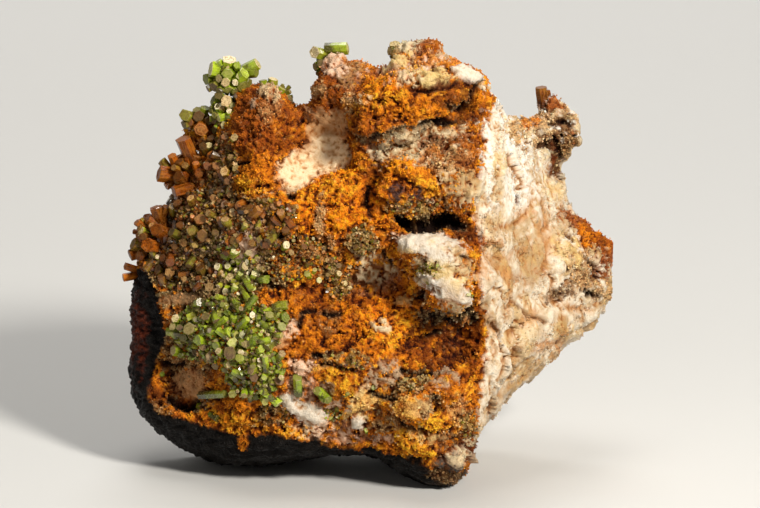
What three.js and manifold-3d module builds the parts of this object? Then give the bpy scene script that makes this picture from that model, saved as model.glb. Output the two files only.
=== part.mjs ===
// A cabinet specimen of pyromorphite on its matrix: a chunk of milky vein quartz with a dark goethite
// rind at the lower left and an ochre limonite crust over the front, set with groups of six-sided
// pyromorphite crystals. Millimetres, +Z up, the crystal-bearing face looks along -Y.
//
// The rock is laid out in the frame of its face: x to the right, z up along the face and a depth
// that grows towards the viewer. The face then leans back, and the foot of the rock is flat.
import * as THREE from "three";
import { ImprovedNoise } from "three/addons/math/ImprovedNoise.js";
import { mergeVertices } from "three/addons/utils/BufferGeometryUtils.js";
import Module from "manifold-3d";

const wasm = await Module();
wasm.setup();

// Driving dimensions
const FACE_LEAN_DEG = 14;
const FLOOR_LEVEL = 1.6; // the flat foot, above the lowest point of the leaning rock
const SEAT_X = 0.5; // these two put the origin under the middle of the bounding box
const SEAT_Y = -13.5;
const HEART_X = 0; // the rings of the rock's surface are drawn round this point of the face
const HEART_Z = 46.9;
const BACK_DEPTH = -31;
const RINGS = 15;
const NOTCH_REACH = 0.35; // notches of the outline fade out over this share of the way in
const JITTER = 0.5; // the rings' points stray this far, so that no rings show
const WALL_STEEPNESS = 0.5; // below 1, the walls stand up steeply behind the outline
const RELIEF_COARSE = 1.5; // height of the broad undulation, and its length below
const RELIEF_COARSE_LENGTH = 19;
const RELIEF_FINE = 0.9;
const RELIEF_FINE_LENGTH = 6.5;
const BLOCK_ROUGHNESS = 0.28;
const SEATING_GAP = 0.35; // crystals stay this clear of the rock
const CRUST_DEPTH = 0.6; // the edge of a druse's crust dips this far into the rock
const CRUST_HEIGHT = 1.3; // and its middle stands this far proud

// Outline of the rock seen from the front, anticlockwise from the left: x, z and the depth at which
// the surface turns away from view.
const OUTLINE = [
  [-52.8, 43.1, -7], [-53.5, 31.5, -9], [-53.0, 19.8, -10], [-50.2, 14.7, -10], [-44.4, 10.1, -10],
  [-38.5, 6.6, -11], [-32.1, 4.4, -11], [-24.2, 4.2, -11], [-15.0, 6.2, -9], [-5.5, 7.5, -6],
  [1.8, 7.0, -2], [6.6, 3.1, 2], [11.9, 0.4, 4], [17.8, -0.4, 4], [20.7, 3.1, 2],
  [22.2, 8.4, 0], [26.0, 14.1, -3], [30.4, 19.8, -6], [35.2, 23.1, -8], [39.6, 27.9, -10],
  [44.9, 32.8, -12], [50.2, 35.9, -14], [52.6, 38.3, -14], [53.5, 42.2, -14], [54.3, 48.4, -14],
  [53.5, 53.2, -13], [49.3, 57.0, -12], [44.9, 60.5, -12], [43.3, 65.6, -12], [40.9, 69.5, -12],
  [38.3, 74.8, -11], [35.4, 80.1, -10], [31.2, 81.4, -8], [27.7, 84.0, -4], [25.5, 88.0, 0],
  [23.3, 90.6, 2], [19.8, 92.8, 3], [16.9, 95.3, 3], [14.1, 98.1, 3], [9.2, 98.6, 2],
  [6.4, 96.4, 2], [5.1, 93.1, 2], [1.8, 92.2, 1], [-3.1, 93.7, 0], [-6.6, 94.4, 0],
  [-9.9, 92.6, 0], [-11.7, 88.4, -1], [-13.0, 84.0, -2], [-16.9, 82.5, -3], [-18.7, 85.6, -3],
  [-21.1, 88.4, -3], [-25.1, 88.9, -3], [-28.6, 87.6, -3], [-30.6, 83.6, -3], [-33.9, 77.7, -4],
  [-38.3, 72.2, -5], [-42.7, 67.3, -5], [-44.9, 60.7, -5], [-48.8, 55.4, -6], [-51.3, 49.7, -7],
];

// Broad faces of the front: depth at a point of the face, and how it changes along x and along z.
const FACES = [
  { x: 0, z: 46, depth: 20, alongX: 0.04, alongZ: 0.02 }, // limonite front
  { x: 25.3, z: 50, depth: 23, alongX: -1.25, alongZ: 0.05 }, // broken quartz flank
  { x: -24, z: 50, depth: 19, alongX: 0.5, alongZ: 0 }, // crystal-bearing left flank
  { x: 0, z: 76, depth: 23, alongX: 0, alongZ: -0.3 }, // crown
  { x: 0, z: 10, depth: 22, alongX: 0, alongZ: 0.9 }, // toe
  { x: -40, z: 18, depth: 14, alongX: 0.5, alongZ: 0.6 }, // goethite rim at the lower left
];

// Swells, ledges and hollows on those faces: centre, half sizes, turn, rise, and how softly each ends.
const RELIEF = [
  { x: 12.1, z: 86, halfX: 15, halfZ: 8.5, turn: 10, rise: 4, soft: 0.5 }, // top block
  { x: 1.5, z: 79, halfX: 6.5, halfZ: 9, turn: 0, rise: 4.5, soft: 0.4 }, // its left shoulder
  { x: 14.3, z: 69, halfX: 11.5, halfZ: 7.5, turn: 8, rise: 3.5, soft: 0.5 }, // middle ledge
  { x: -7.7, z: 89, halfX: 7, halfZ: 7, turn: 0, rise: 3, soft: 0.8 }, // peak
  { x: -11.7, z: 75, halfX: 8, halfZ: 8, turn: 20, rise: -4.5, soft: 0.3 }, // bare quartz recess
  { x: -24, z: 78, halfX: 7, halfZ: 12, turn: 0, rise: 4, soft: 0.4 }, // pillar under the crest
  { x: -8.8, z: 61, halfX: 17, halfZ: 9, turn: 12, rise: 3, soft: 0.8 }, // ochre swell
  { x: -1, z: 46.5, halfX: 10, halfZ: 6, turn: 0, rise: -4, soft: 0.6 }, // grey hollow
  { x: 16, z: 50, halfX: 8.5, halfZ: 7, turn: -8, rise: 3, soft: 0.6 }, // swell under the boss
  { x: 18, z: 32, halfX: 8, halfZ: 7.5, turn: 0, rise: -7, soft: 0.5 }, // brown hollow
  { x: -8.8, z: 26, halfX: 17, halfZ: 9, turn: 10, rise: 3, soft: 0.8 }, // lower slope
  { x: 12.5, z: 18.5, halfX: 9, halfZ: 4, turn: 15, rise: 3.5, soft: 0.5 }, // lower ledge
  { x: 15, z: 7, halfX: 8, halfZ: 5, turn: -30, rise: 3, soft: 0.6 }, // toe
  { x: -30, z: 35, halfX: 13, halfZ: 13, turn: 0, rise: 2.5, soft: 0.7 }, // bench of the green druse
  { x: -33, z: 56, halfX: 12, halfZ: 6, turn: 15, rise: 2.5, soft: 0.6 }, // bench of the brown druse
  { x: -38, z: 47.5, halfX: 10, halfZ: 3, turn: 5, rise: -3, soft: 0.5 }, // groove between them
  { x: -43, z: 23.5, halfX: 6, halfZ: 4.5, turn: -15, rise: -5, soft: 0.4 }, // ochre pocket
  { x: -45, z: 14.5, halfX: 9, halfZ: 3.5, turn: -35, rise: 4.5, soft: 0.5 }, // goethite rim
  { x: -20, z: 8.5, halfX: 17, halfZ: 3, turn: 0, rise: 4, soft: 0.5 }, // goethite sill
  { x: 27, z: 62, halfX: 2.5, halfZ: 22, turn: -2, rise: 2.5, soft: 0.5 }, // proud edge of the quartz
  { x: 48, z: 50, halfX: 5.5, halfZ: 8, turn: 15, rise: 7, soft: 0.5 }, // right shoulder
  { x: 36, z: 33, halfX: 10, halfZ: 3, turn: 40, rise: 3, soft: 0.4 }, // quartz slab, lower right
];

// Blocks that overhang the face, and those of the arm that stands free of it at the upper right:
// centre, half sizes across, up and in depth, and turn.
const BLOCKS = [
  { x: 9.5, z: 85, depth: 22.5, half: [11.5, 5.4, 7], turn: 12 }, // top block
  { x: 6.8, z: 80, depth: 23, half: [8, 3.6, 6.5], turn: 18 }, // its lower lip
  { x: 19.5, z: 88.6, depth: 16.5, half: [6.2, 4.6, 7], turn: -25 }, // its right end
  { x: 8.2, z: 67.6, depth: 21.5, half: [7, 5.2, 7], turn: 12 }, // nose of the middle ledge
  { x: 16.8, z: 68.6, depth: 19.5, half: [9, 7, 6.5], turn: -12 }, // body of the middle ledge
  { x: 14.6, z: 51.8, depth: 25.5, half: [8.4, 3, 7.5], turn: -9 }, // white quartz boss
  { x: 17, z: 46.4, depth: 25, half: [5, 5.4, 6.5], turn: 4 }, // its crusted front
  { x: 11.5, z: 20.5, depth: 19, half: [8, 3.2, 5.5], turn: 16 }, // lower ledge
  { x: -36.6, z: 77.8, depth: -3.5, half: [3.4, 3.6, 3.4], turn: 25 }, // spur of the left tip
];
const ARM = [
  { x: 39.6, z: 70.8, depth: -13, half: [3, 6.2, 4.4], turn: 6 }, // stalk
  { x: 42.4, z: 75.2, depth: -13.5, half: [3, 3, 3.6], turn: 0 },
  { x: 38.6, z: 79.8, depth: -12, half: [5.2, 3, 4.4], turn: 8 }, // head
  { x: 42.9, z: 80.8, depth: -12.5, half: [3.8, 3.3, 3.8], turn: -20 },
  { x: 44.8, z: 77.6, depth: -11.5, half: [2, 2, 2.6], turn: 10 }, // knob at its right
  { x: 40.8, z: 84.2, depth: -12.5, half: [2.4, 2, 2.6], turn: -15 }, // crown
  { x: 38.4, z: 85.2, depth: -12.5, half: [1.2, 2.6, 1.4], turn: 4 }, // stem of the top prism
];

// Clefts and pockets cut into the rock.
const POCKETS = [
  { x: 9.2, z: 76, depth: 27, half: [8.5, 1.2, 8], turn: 20 }, // cleft under the top block
  { x: 13.5, z: 58.6, depth: 26, half: [8, 2.2, 9], turn: -2 }, // cave under the middle ledge
  { x: 17.6, z: 35, depth: 23, half: [5.2, 4.4, 7], turn: 0 }, // hollow under the boss
  { x: -9.6, z: 68.2, depth: 22, half: [1.3, 0.9, 4], turn: 20 }, // pit in the ochre
  { x: 7.6, z: 16.6, depth: 25, half: [3.4, 1, 6], turn: -14 }, // cleft in the lower ledge
  { x: 47.5, z: 41.5, depth: 0, half: [2.6, 1.3, 6], turn: 25 }, // pocket in the right shoulder
];

const noise = new ImprovedNoise();
const hash = (n) => {
  const spread = Math.sin(n * 127.1 + 311.7) * 43758.5453;
  return spread - Math.floor(spread);
};
const jitter = (n) => 2 * hash(n) - 1;
const radians = THREE.MathUtils.degToRad;
const facePoint = (x, z, depth) => new THREE.Vector3(x, -depth, z);

// The outline's point at a share of the way round.
function outlineAt(share) {
  const place = (share % 1) * OUTLINE.length;
  const from = OUTLINE[Math.floor(place)];
  const to = OUTLINE[(Math.floor(place) + 1) % OUTLINE.length];
  return from.map((value, i) => THREE.MathUtils.lerp(value, to[i], place % 1));
}

function undulation(x, z, level) {
  const coarse = noise.noise(x / RELIEF_COARSE_LENGTH, z / RELIEF_COARSE_LENGTH, level);
  const fine = noise.noise(x / RELIEF_FINE_LENGTH, z / RELIEF_FINE_LENGTH, level + 5);
  return RELIEF_COARSE * coarse + RELIEF_FINE * fine;
}

function frontDepth(x, z) {
  const planes = FACES.map((f) => f.depth + f.alongX * (x - f.x) + f.alongZ * (z - f.z));
  let depth = Math.min(...planes);
  for (const r of RELIEF) {
    const turn = radians(r.turn);
    const across = (x - r.x) * Math.cos(turn) + (z - r.z) * Math.sin(turn);
    const along = (z - r.z) * Math.cos(turn) - (x - r.x) * Math.sin(turn);
    const away = Math.hypot(across / r.halfX, along / r.halfZ);
    depth += r.rise * (1 - THREE.MathUtils.smoothstep(away, 1 - r.soft, 1 + r.soft));
  }
  return depth + undulation(x, z, 1.5);
}

function backDepth(x, z) {
  const crown = Math.max(0, z - 62) * 0.45;
  const left = Math.max(0, -x - 22) * 0.4;
  const right = Math.max(0, x - 26) * 0.25;
  return BACK_DEPTH + crown + left + right + 2.2 * undulation(x, z, 9.5);
}

// The outline with its notches smoothed away, for the rings well inside it.
function smoothOutlineAt(share) {
  const spread = [-0.05, -0.025, 0, 0.025, 0.05];
  const near = spread.map((offset) => outlineAt(1 + share + offset));
  return [0, 1, 2].map((i) => near.reduce((sum, p) => sum + p[i], 0) / near.length);
}

// One side of the rock as rings of points from its middle out to the outline, as [x, z, depth].
function sidePoints(depthOf) {
  const points = [];
  for (let ring = 0; ring <= RINGS; ring++) {
    const turn = (ring / RINGS) * (Math.PI / 2);
    const reach = Math.sin(turn);
    const rise = Math.cos(turn) ** WALL_STEEPNESS;
    for (let i = 0; i < Math.max(1, 6 * ring); i++) {
      const share = ring ? i / (6 * ring) : 0;
      const smoothing = THREE.MathUtils.smoothstep(1 - reach, 0, NOTCH_REACH);
      const smooth = smoothOutlineAt(share);
      const [edgeX, edgeZ, edgeDepth] = outlineAt(share).map((value, k) =>
        THREE.MathUtils.lerp(value, smooth[k], smoothing),
      );
      const loose = ring < RINGS ? JITTER * Math.min(1, rise * 1.4) : 0;
      const x = HEART_X + reach * (edgeX - HEART_X) + loose * jitter(ring * 131 + i);
      const z = HEART_Z + reach * (edgeZ - HEART_Z) + loose * jitter(ring * 131 + i + 0.5);
      const depth = ring < RINGS ? edgeDepth + (depthOf(x, z) - edgeDepth) * rise : edgeDepth;
      points.push([x, z, depth]);
    }
  }
  return points;
}

// Triangles between the rings, each ring k holding 6k points.
function ringTriangles() {
  const at = (ring, i) => (ring ? 1 + 3 * ring * (ring - 1) + (i % (6 * ring)) : 0);
  const triangles = [];
  for (let ring = 1; ring <= RINGS; ring++) {
    for (let i = 0; i < 6 * ring; i++) {
      const sector = Math.floor(i / ring);
      const inner = at(ring - 1, i - sector);
      triangles.push([inner, at(ring, i), at(ring, i + 1)]);
      if (i % ring < ring - 1) triangles.push([inner, at(ring, i + 1), at(ring - 1, i - sector + 1)]);
    }
  }
  return triangles;
}

function meshOf(points, triangles) {
  const geometry = new THREE.BufferGeometry().setFromPoints(points);
  return geometry.setIndex(triangles.flat());
}

function solidOf(geometry) {
  const bare = geometry.clone();
  bare.deleteAttribute("normal");
  bare.deleteAttribute("uv");
  const merged = mergeVertices(bare, 1e-4);
  return new wasm.Manifold(
    new wasm.Mesh({
      numProp: 3,
      vertProperties: merged.attributes.position.array,
      triVerts: new Uint32Array(merged.index.array),
    }),
  );
}

function geometryOf(solid) {
  const mesh = solid.getMesh();
  const geometry = new THREE.BufferGeometry();
  const count = mesh.vertProperties.length / mesh.numProp;
  const positions = new Float32Array(3 * count);
  for (let i = 0; i < count; i++) {
    positions.set(mesh.vertProperties.subarray(i * mesh.numProp, i * mesh.numProp + 3), 3 * i);
  }
  geometry.setAttribute("position", new THREE.BufferAttribute(positions, 3));
  return geometry.setIndex(new THREE.BufferAttribute(mesh.triVerts, 1));
}

const joined = (solids) => solids.reduce((whole, piece) => whole.add(piece));

// A stone block: a ball of flat facets, squared off, stretched to its half sizes and roughened.
function block({ x, z, depth, half, turn }, detail = 1) {
  const ball = new THREE.IcosahedronGeometry(1, detail);
  const place = ball.attributes.position;
  const point = new THREE.Vector3();
  for (let i = 0; i < place.count; i++) {
    point.fromBufferAttribute(place, i);
    const squared = (point.x ** 4 + point.y ** 4 + point.z ** 4) ** 0.25;
    const swell = noise.noise(point.x * 1.7 + x, point.y * 1.7 + depth, point.z * 1.7 + z);
    point.multiplyScalar((1 + BLOCK_ROUGHNESS * swell) / THREE.MathUtils.lerp(1, squared, 0.7));
    place.setXYZ(i, point.x * half[0], point.y * half[2], point.z * half[1]);
  }
  ball.rotateY(-radians(turn));
  ball.translate(x, -depth, z);
  return solidOf(ball);
}

function rockBody() {
  const front = sidePoints(frontDepth);
  const back = sidePoints(backDepth);
  const rim = front.length - 6 * RINGS;
  const triangles = ringTriangles();
  const points = [...front, ...back.slice(0, rim)].map((p) => facePoint(...p));
  const backIndex = (i) => (i < rim ? i + front.length : i);
  const backTriangles = triangles.map(([a, b, c]) => [backIndex(a), backIndex(c), backIndex(b)]);
  return {
    body: meshOf(points, [...triangles, ...backTriangles]),
    frontFaces: triangles.filter((t) => Math.max(...t) < rim),
    frontPoints: points.slice(0, front.length),
  };
}

// The whole group leans back about X and moves so that its foot stands on Z = 0.
const specimen = new THREE.Group();
specimen.rotation.x = -radians(FACE_LEAN_DEG);
specimen.position.set(SEAT_X, SEAT_Y, -FLOOR_LEVEL);
specimen.updateMatrixWorld(true);

// Everything below the floor, in the frame of the face.
function belowFloor() {
  const size = 300;
  const slab = new THREE.BoxGeometry(size, size, size).translate(0, 0, -size / 2);
  return solidOf(slab.applyMatrix4(specimen.matrixWorld.clone().invert()));
}

// The solid with every vertex pushed out along its normal.
function grown(solid, distance) {
  const geometry = mergeVertices(geometryOf(solid), 1e-4);
  geometry.computeVertexNormals();
  const { position, normal } = geometry.attributes;
  for (let i = 0; i < position.count; i++) {
    position.setXYZ(
      i,
      position.getX(i) + distance * normal.getX(i),
      position.getY(i) + distance * normal.getY(i),
      position.getZ(i) + distance * normal.getZ(i),
    );
  }
  return solidOf(geometry);
}

const { body, frontFaces, frontPoints } = rockBody();
const floor = belowFloor();
const rock = joined([solidOf(body), ...[...BLOCKS, ...ARM].map((b) => block(b))])
  .subtract(joined(POCKETS.map((p) => block(p))))
  .subtract(floor);
const rockWithGap = grown(rock, SEATING_GAP);

// Where a line of sight through (x, z) meets the rock, with the surface's normal there.
const rockSurface = new THREE.Mesh(geometryOf(rock));
const sight = new THREE.Raycaster();
function surfaceAt(x, z) {
  sight.set(new THREE.Vector3(x, -200, z), new THREE.Vector3(0, 1, 0));
  const [hit] = sight.intersectObject(rockSurface);
  return { point: hit.point, normal: hit.face.normal.clone() };
}

// A six-sided crystal with a flat end, from a point at its root along a direction.
function crystal(root, direction, radius, length, turn) {
  const prism = new THREE.CylinderGeometry(radius * 0.96, radius, length, 6);
  prism.rotateY(turn).translate(0, length / 2, 0);
  const upright = new THREE.Quaternion().setFromUnitVectors(
    new THREE.Vector3(0, 1, 0),
    direction.clone().normalize(),
  );
  prism.applyQuaternion(upright).translate(root.x, root.y, root.z);
  return solidOf(prism);
}

// Crystals that radiate from one heart, as on a ball: each is the x and z of its end, and its radius.
function radiating({ heart, reach, ends, start }) {
  const middle = facePoint(...heart);
  const core = 0.62 * reach;
  const knob = block({ x: heart[0], z: heart[1], depth: heart[2], half: [core, core, core], turn: 0 }, 0);
  const prisms = ends.map(([x, z, radius], i) => {
    const away = Math.hypot(x - heart[0], z - heart[1]);
    const forward = Math.sqrt(Math.max(0.02, 1 - (away / reach) ** 2)) * reach;
    const end = facePoint(x, z, heart[2] + forward);
    const direction = end.clone().sub(middle).normalize();
    direction.x += 0.25 * jitter(start + 3 * i);
    direction.z += 0.25 * jitter(start + 3 * i + 1);
    direction.normalize();
    const length = reach * (0.9 + 0.1 * hash(start + i));
    const root = end.clone().addScaledVector(direction, -length);
    return crystal(root, direction, radius, length, hash(i) * 2);
  });
  return joined([knob, ...prisms]);
}

// Crystals laid by hand: the x, z and depth of the root, then of the free end, and the radius.
function laid(rows) {
  return joined(
    rows.map(([rootX, rootZ, rootDepth, endX, endZ, endDepth, radius], i) => {
      const root = facePoint(rootX, rootZ, rootDepth);
      const run = facePoint(endX, endZ, endDepth).sub(root);
      return crystal(root, run, radius, run.length(), hash(i + 40) * 2);
    }),
  );
}

// Crystals laid on the rock's face, with how far the root and the free end rise from it as depths.
const faceDepth = (x, z) => -surfaceAt(x, z).point.y;
function seated(rows) {
  return laid(
    rows.map(([rootX, rootZ, rootRise, endX, endZ, endRise, radius]) => [
      rootX, rootZ, faceDepth(rootX, rootZ) + rootRise,
      endX, endZ, faceDepth(endX, endZ) + endRise, radius,
    ]),
  );
}

// The crust that a druse grows from: the rock's own facets inside an ellipse, thickened to a lens
// whose edge dips into the rock.
function crust({ x, z, halfX, halfZ }) {
  const away = (p) => Math.hypot((p.x - x) / halfX, (p.z - z) / halfZ);
  const faces = frontFaces.filter((f) => Math.min(...f.map((i) => away(frontPoints[i]))) < 1);
  const shell = new THREE.BufferGeometry().setFromPoints(frontPoints).setIndex(faces.flat());
  shell.computeVertexNormals();
  const shifted = (distanceAt) =>
    frontPoints.map((p, i) => {
      const normal = new THREE.Vector3().fromBufferAttribute(shell.attributes.normal, i);
      return p.clone().addScaledVector(normal, distanceAt(away(p)));
    });
  const top = shifted((out) => CRUST_HEIGHT - (CRUST_HEIGHT + CRUST_DEPTH) * Math.min(1, out) ** 3);
  const bottom = shifted(() => -2 * CRUST_DEPTH);
  const under = (i) => i + frontPoints.length;
  const edges = new Set(faces.flatMap(([a, b, c]) => [`${a} ${b}`, `${b} ${c}`, `${c} ${a}`]));
  const rim = [...edges].map((e) => e.split(" ").map(Number)).filter(([a, b]) => !edges.has(`${b} ${a}`));
  const triangles = [
    ...faces,
    ...faces.map(([a, b, c]) => [under(a), under(c), under(b)]),
    ...rim.flatMap(([a, b]) => [[a, under(a), b], [b, under(a), under(b)]]),
  ];
  return solidOf(meshOf([...top, ...bottom], triangles).toNonIndexed());
}

// A druse: its crust, and crystals spread over an ellipse in a sunflower's spiral.
function druse({ x, z, halfX, halfZ, count, radius, height, start }) {
  const goldenTurn = radians(137.508);
  const prisms = [];
  for (let i = 0; i < count; i++) {
    const out = Math.sqrt((i + 0.5) / count) * 0.93;
    const atX = x + out * halfX * Math.cos(i * goldenTurn) + 0.5 * jitter(start + i);
    const atZ = z + out * halfZ * Math.sin(i * goldenTurn) + 0.5 * jitter(start + i + 0.3);
    const { point, normal } = surfaceAt(atX, atZ);
    const lean = new THREE.Vector3(0.45 * jitter(start + i + 0.6), -0.5, 0.45 * jitter(start + i + 0.9));
    const direction = normal.add(lean).normalize();
    const size = radius * (0.72 + 0.6 * hash(start + i * 1.7));
    const tall = height * (0.7 + 0.7 * hash(start + i * 2.3));
    const root = point.clone().addScaledVector(direction, -0.6);
    prisms.push(crystal(root, direction, size, tall + 0.6, hash(start + i) * 2));
  }
  return joined([crust({ x, z, halfX, halfZ }), ...prisms]);
}

const CREST = {
  heart: [-30.2, 89.6, 1],
  reach: 5.2,
  start: 11,
  ends: [
    [-33.9, 92.1, 1.4], [-30.9, 94.3, 1.5], [-26.4, 93.2, 1.4], [-31.8, 91.0, 1.45], [-27.5, 90.9, 1.55],
    [-29.8, 92.2, 0.9], [-35.3, 90.0, 1.2], [-34.2, 87.7, 1.2], [-31.7, 88.6, 1.2], [-29.5, 89.3, 1.0],
    [-27.8, 88.2, 1.2], [-31.1, 86.6, 1.1], [-25.6, 91.0, 1.0],
  ],
};
const NECK = {
  heart: [-31.4, 82.2, 2],
  reach: 4.6,
  start: 23,
  ends: [
    [-31.8, 85.1, 1.5], [-33.8, 83.8, 1.1], [-30.1, 85.6, 1.1], [-34.2, 85.3, 1.1], [-33.6, 81.4, 1.4],
    [-30.4, 84.0, 0.9], [-32.6, 78.9, 1.0], [-34.6, 79.2, 0.9],
  ],
};
const LEFT_TIP = {
  heart: [-38.2, 80.6, -3],
  reach: 4.0,
  start: 37,
  ends: [
    [-41.6, 82.1, 1.5], [-38.7, 83.8, 1.15], [-36.6, 83.2, 1.2], [-38.4, 81.5, 1.4], [-37.1, 79.2, 1.5],
    [-39.8, 79.4, 1.3], [-41.2, 80.0, 1.1],
  ],
};
const REAR = {
  heart: [-20.2, 86.4, -4],
  reach: 4.2,
  start: 51,
  ends: [[-21.6, 90.2, 1.0], [-23.6, 89.8, 0.9], [-18.4, 88.4, 1.3], [-17.2, 85.4, 1.3]],
};
const AMBER_PRISMS = [
  [-38.6, 71.6, 1, -41.6, 77.2, 4, 1.75],
  [-40.0, 69.0, 1, -45.2, 73.2, 0, 1.25],
  [-36.0, 67.5, 4, -43.7, 65.2, 5.5, 1.35],
  [-39.5, 68.5, 0, -46.8, 70.2, 2, 1.75],
  [-39.0, 68.0, 1, -42.2, 69.0, 6.5, 1.75],
  [-37.5, 68.5, 2, -38.8, 71.2, 7.5, 1.65],
  [-37.0, 66.5, 3, -39.0, 67.2, 8.5, 1.5],
  [-36.5, 69.0, 3, -36.2, 73.0, 7.2, 1.3],
];
const SHOULDER_PRISMS = [
  [-45.0, 58.0, 0, -47.6, 61.6, 2.5, 1.7],
  [-44.5, 57.0, 0, -48.2, 57.2, 4.0, 1.7],
  [-45.5, 57.0, -2, -51.2, 53.4, 1.0, 1.5],
  [-45.5, 56.0, -3, -51.6, 56.4, -1.0, 1.15],
  [-46.0, 54.5, -5, -53.4, 54.2, -3.5, 1.45],
  [-47.0, 53.5, -4, -53.4, 51.0, -2.0, 1.45],
  [-45.5, 57.5, -2, -49.4, 59.4, -1.0, 1.3],
];
const RIM_PRISMS = [
  [-50.5, 47.5, -6, -54.4, 48.8, -4.5, 0.95],
  [-50.5, 47.0, -6, -54.9, 46.4, -4.5, 0.95],
];
const PEAK_PRISMS = [
  [-11.4, 97.0, 1.8, -4.9, 96.7, 2.4, 1.3],
  [-9.6, 93.0, 0.5, -12.9, 96.9, 4.2, 1.4],
  [-9.4, 92.4, 1.5, -11.6, 93.6, 5.0, 1.3],
  [-9.2, 92.0, 1.0, -9.2, 94.9, 4.6, 0.95],
  [-9.6, 92.2, 0.5, -12.8, 91.8, 3.6, 1.0],
];
const SUMMIT_PRISMS = [
  [7.4, 95.6, 1, 4.2, 98.0, 4.2, 1.35],
  [7.0, 94.8, 1, 4.0, 95.4, 4.2, 0.9],
];
const ARM_PRISMS = [[38.9, 84.2, -12.5, 38.2, 88.8, -11.8, 1.6]];
const LEDGE = {
  heart: [13.4, 48.2, faceDepth(13.4, 48.2) + 0.2],
  reach: 2.4,
  start: 83,
  ends: [[12.9, 49.4, 0.8], [12.2, 47.4, 0.75], [11.6, 48.8, 0.7], [14.4, 49.2, 0.75], [13.9, 47.3, 0.8]],
};
const SILL_PRISM = [[-37.4, 20.6, 0.5, -31.6, 20.9, 0.7, 1.0]];
const RIM_EDGE_PRISM = [[-33.4, 15.4, 0.4, -37.8, 18.0, 0.7, 1.05]];
const UPRIGHT_PRISM = [[-15.6, 20.6, 0.2, -15.8, 24.4, 1.4, 1.2]];
const LYING_PRISMS = [
  [-20.2, 18.9, 0.6, -23.6, 22.0, 0.6, 1.0],
  [-21.6, 20.4, -0.6, -19.8, 18.7, 1.8, 1.0],
];
const TWIN_PRISMS = [
  [-9.2, 20.4, -0.8, -11.8, 22.0, 1.8, 1.25],
  [-10.4, 21.0, -0.8, -9.2, 19.8, 2.2, 1.3],
];

const GREEN_DRUSE = {
  x: -29.6, z: 34.6, halfX: 12, halfZ: 14, count: 34, radius: 1.6, height: 2.4, start: 100,
};
const BROWN_DRUSE = {
  x: -33, z: 57, halfX: 11, halfZ: 6.5, count: 15, radius: 1.45, height: 1.9, start: 300,
};

const GREEN = new THREE.MeshStandardMaterial({ color: 0x6f8c26, roughness: 0.32, metalness: 0 });
const OLIVE = new THREE.MeshStandardMaterial({ color: 0x7d7040, roughness: 0.4, metalness: 0 });
const AMBER = new THREE.MeshStandardMaterial({ color: 0x9a4f1d, roughness: 0.45, metalness: 0 });
const ROCK = new THREE.MeshStandardMaterial({ color: 0xb07a42, roughness: 0.9, metalness: 0 });

const CRYSTALS = [
  ["crest_crystals", GREEN, radiating(CREST)],
  ["neck_crystals", OLIVE, radiating(NECK)],
  ["left_tip_crystals", OLIVE, radiating(LEFT_TIP)],
  ["rear_crest_crystals", OLIVE, radiating(REAR)],
  ["amber_prisms", AMBER, laid(AMBER_PRISMS)],
  ["shoulder_prisms", AMBER, laid(SHOULDER_PRISMS)],
  ["rim_prisms", AMBER, laid(RIM_PRISMS)],
  ["peak_prisms", GREEN, laid(PEAK_PRISMS)],
  ["summit_prisms", GREEN, laid(SUMMIT_PRISMS)],
  ["arm_prism", AMBER, laid(ARM_PRISMS)],
  ["sill_prism", GREEN, seated(SILL_PRISM)],
  ["rim_edge_prism", GREEN, seated(RIM_EDGE_PRISM)],
  ["upright_prism", GREEN, seated(UPRIGHT_PRISM)],
  ["lying_prisms", GREEN, seated(LYING_PRISMS)],
  ["twin_prisms", GREEN, seated(TWIN_PRISMS)],
  ["ledge_crystals", GREEN, radiating(LEDGE)],
  ["green_druse", GREEN, druse(GREEN_DRUSE)],
  ["brown_druse", OLIVE, druse(BROWN_DRUSE)],
];

function addPiece(name, material, solid) {
  const geometry = geometryOf(solid);
  geometry.computeVertexNormals();
  const mesh = new THREE.Mesh(geometry, material);
  mesh.name = name;
  specimen.add(mesh);
}

// The largest of the separate bodies in a solid: what a cut leaves loose is dropped.
function largest(solid) {
  return solid.decompose().reduce((best, piece) => (piece.volume() > best.volume() ? piece : best));
}

addPiece("matrix", ROCK, largest(rock));
let taken = rockWithGap.add(floor);
for (const [name, material, solid] of CRYSTALS) {
  const kept = largest(solid.subtract(taken));
  addPiece(name, material, kept);
  taken = taken.add(grown(kept, SEATING_GAP));
}

export default specimen;
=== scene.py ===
# A cabinet specimen of pyromorphite: a chunk of milky quartz, ochre limonite and dark goethite that
# carries six-sided green, olive and amber crystals. Metres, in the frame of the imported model.
import math

import bpy
import numpy as np
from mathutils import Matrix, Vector, noise
from mathutils.bvhtree import BVHTree


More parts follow.
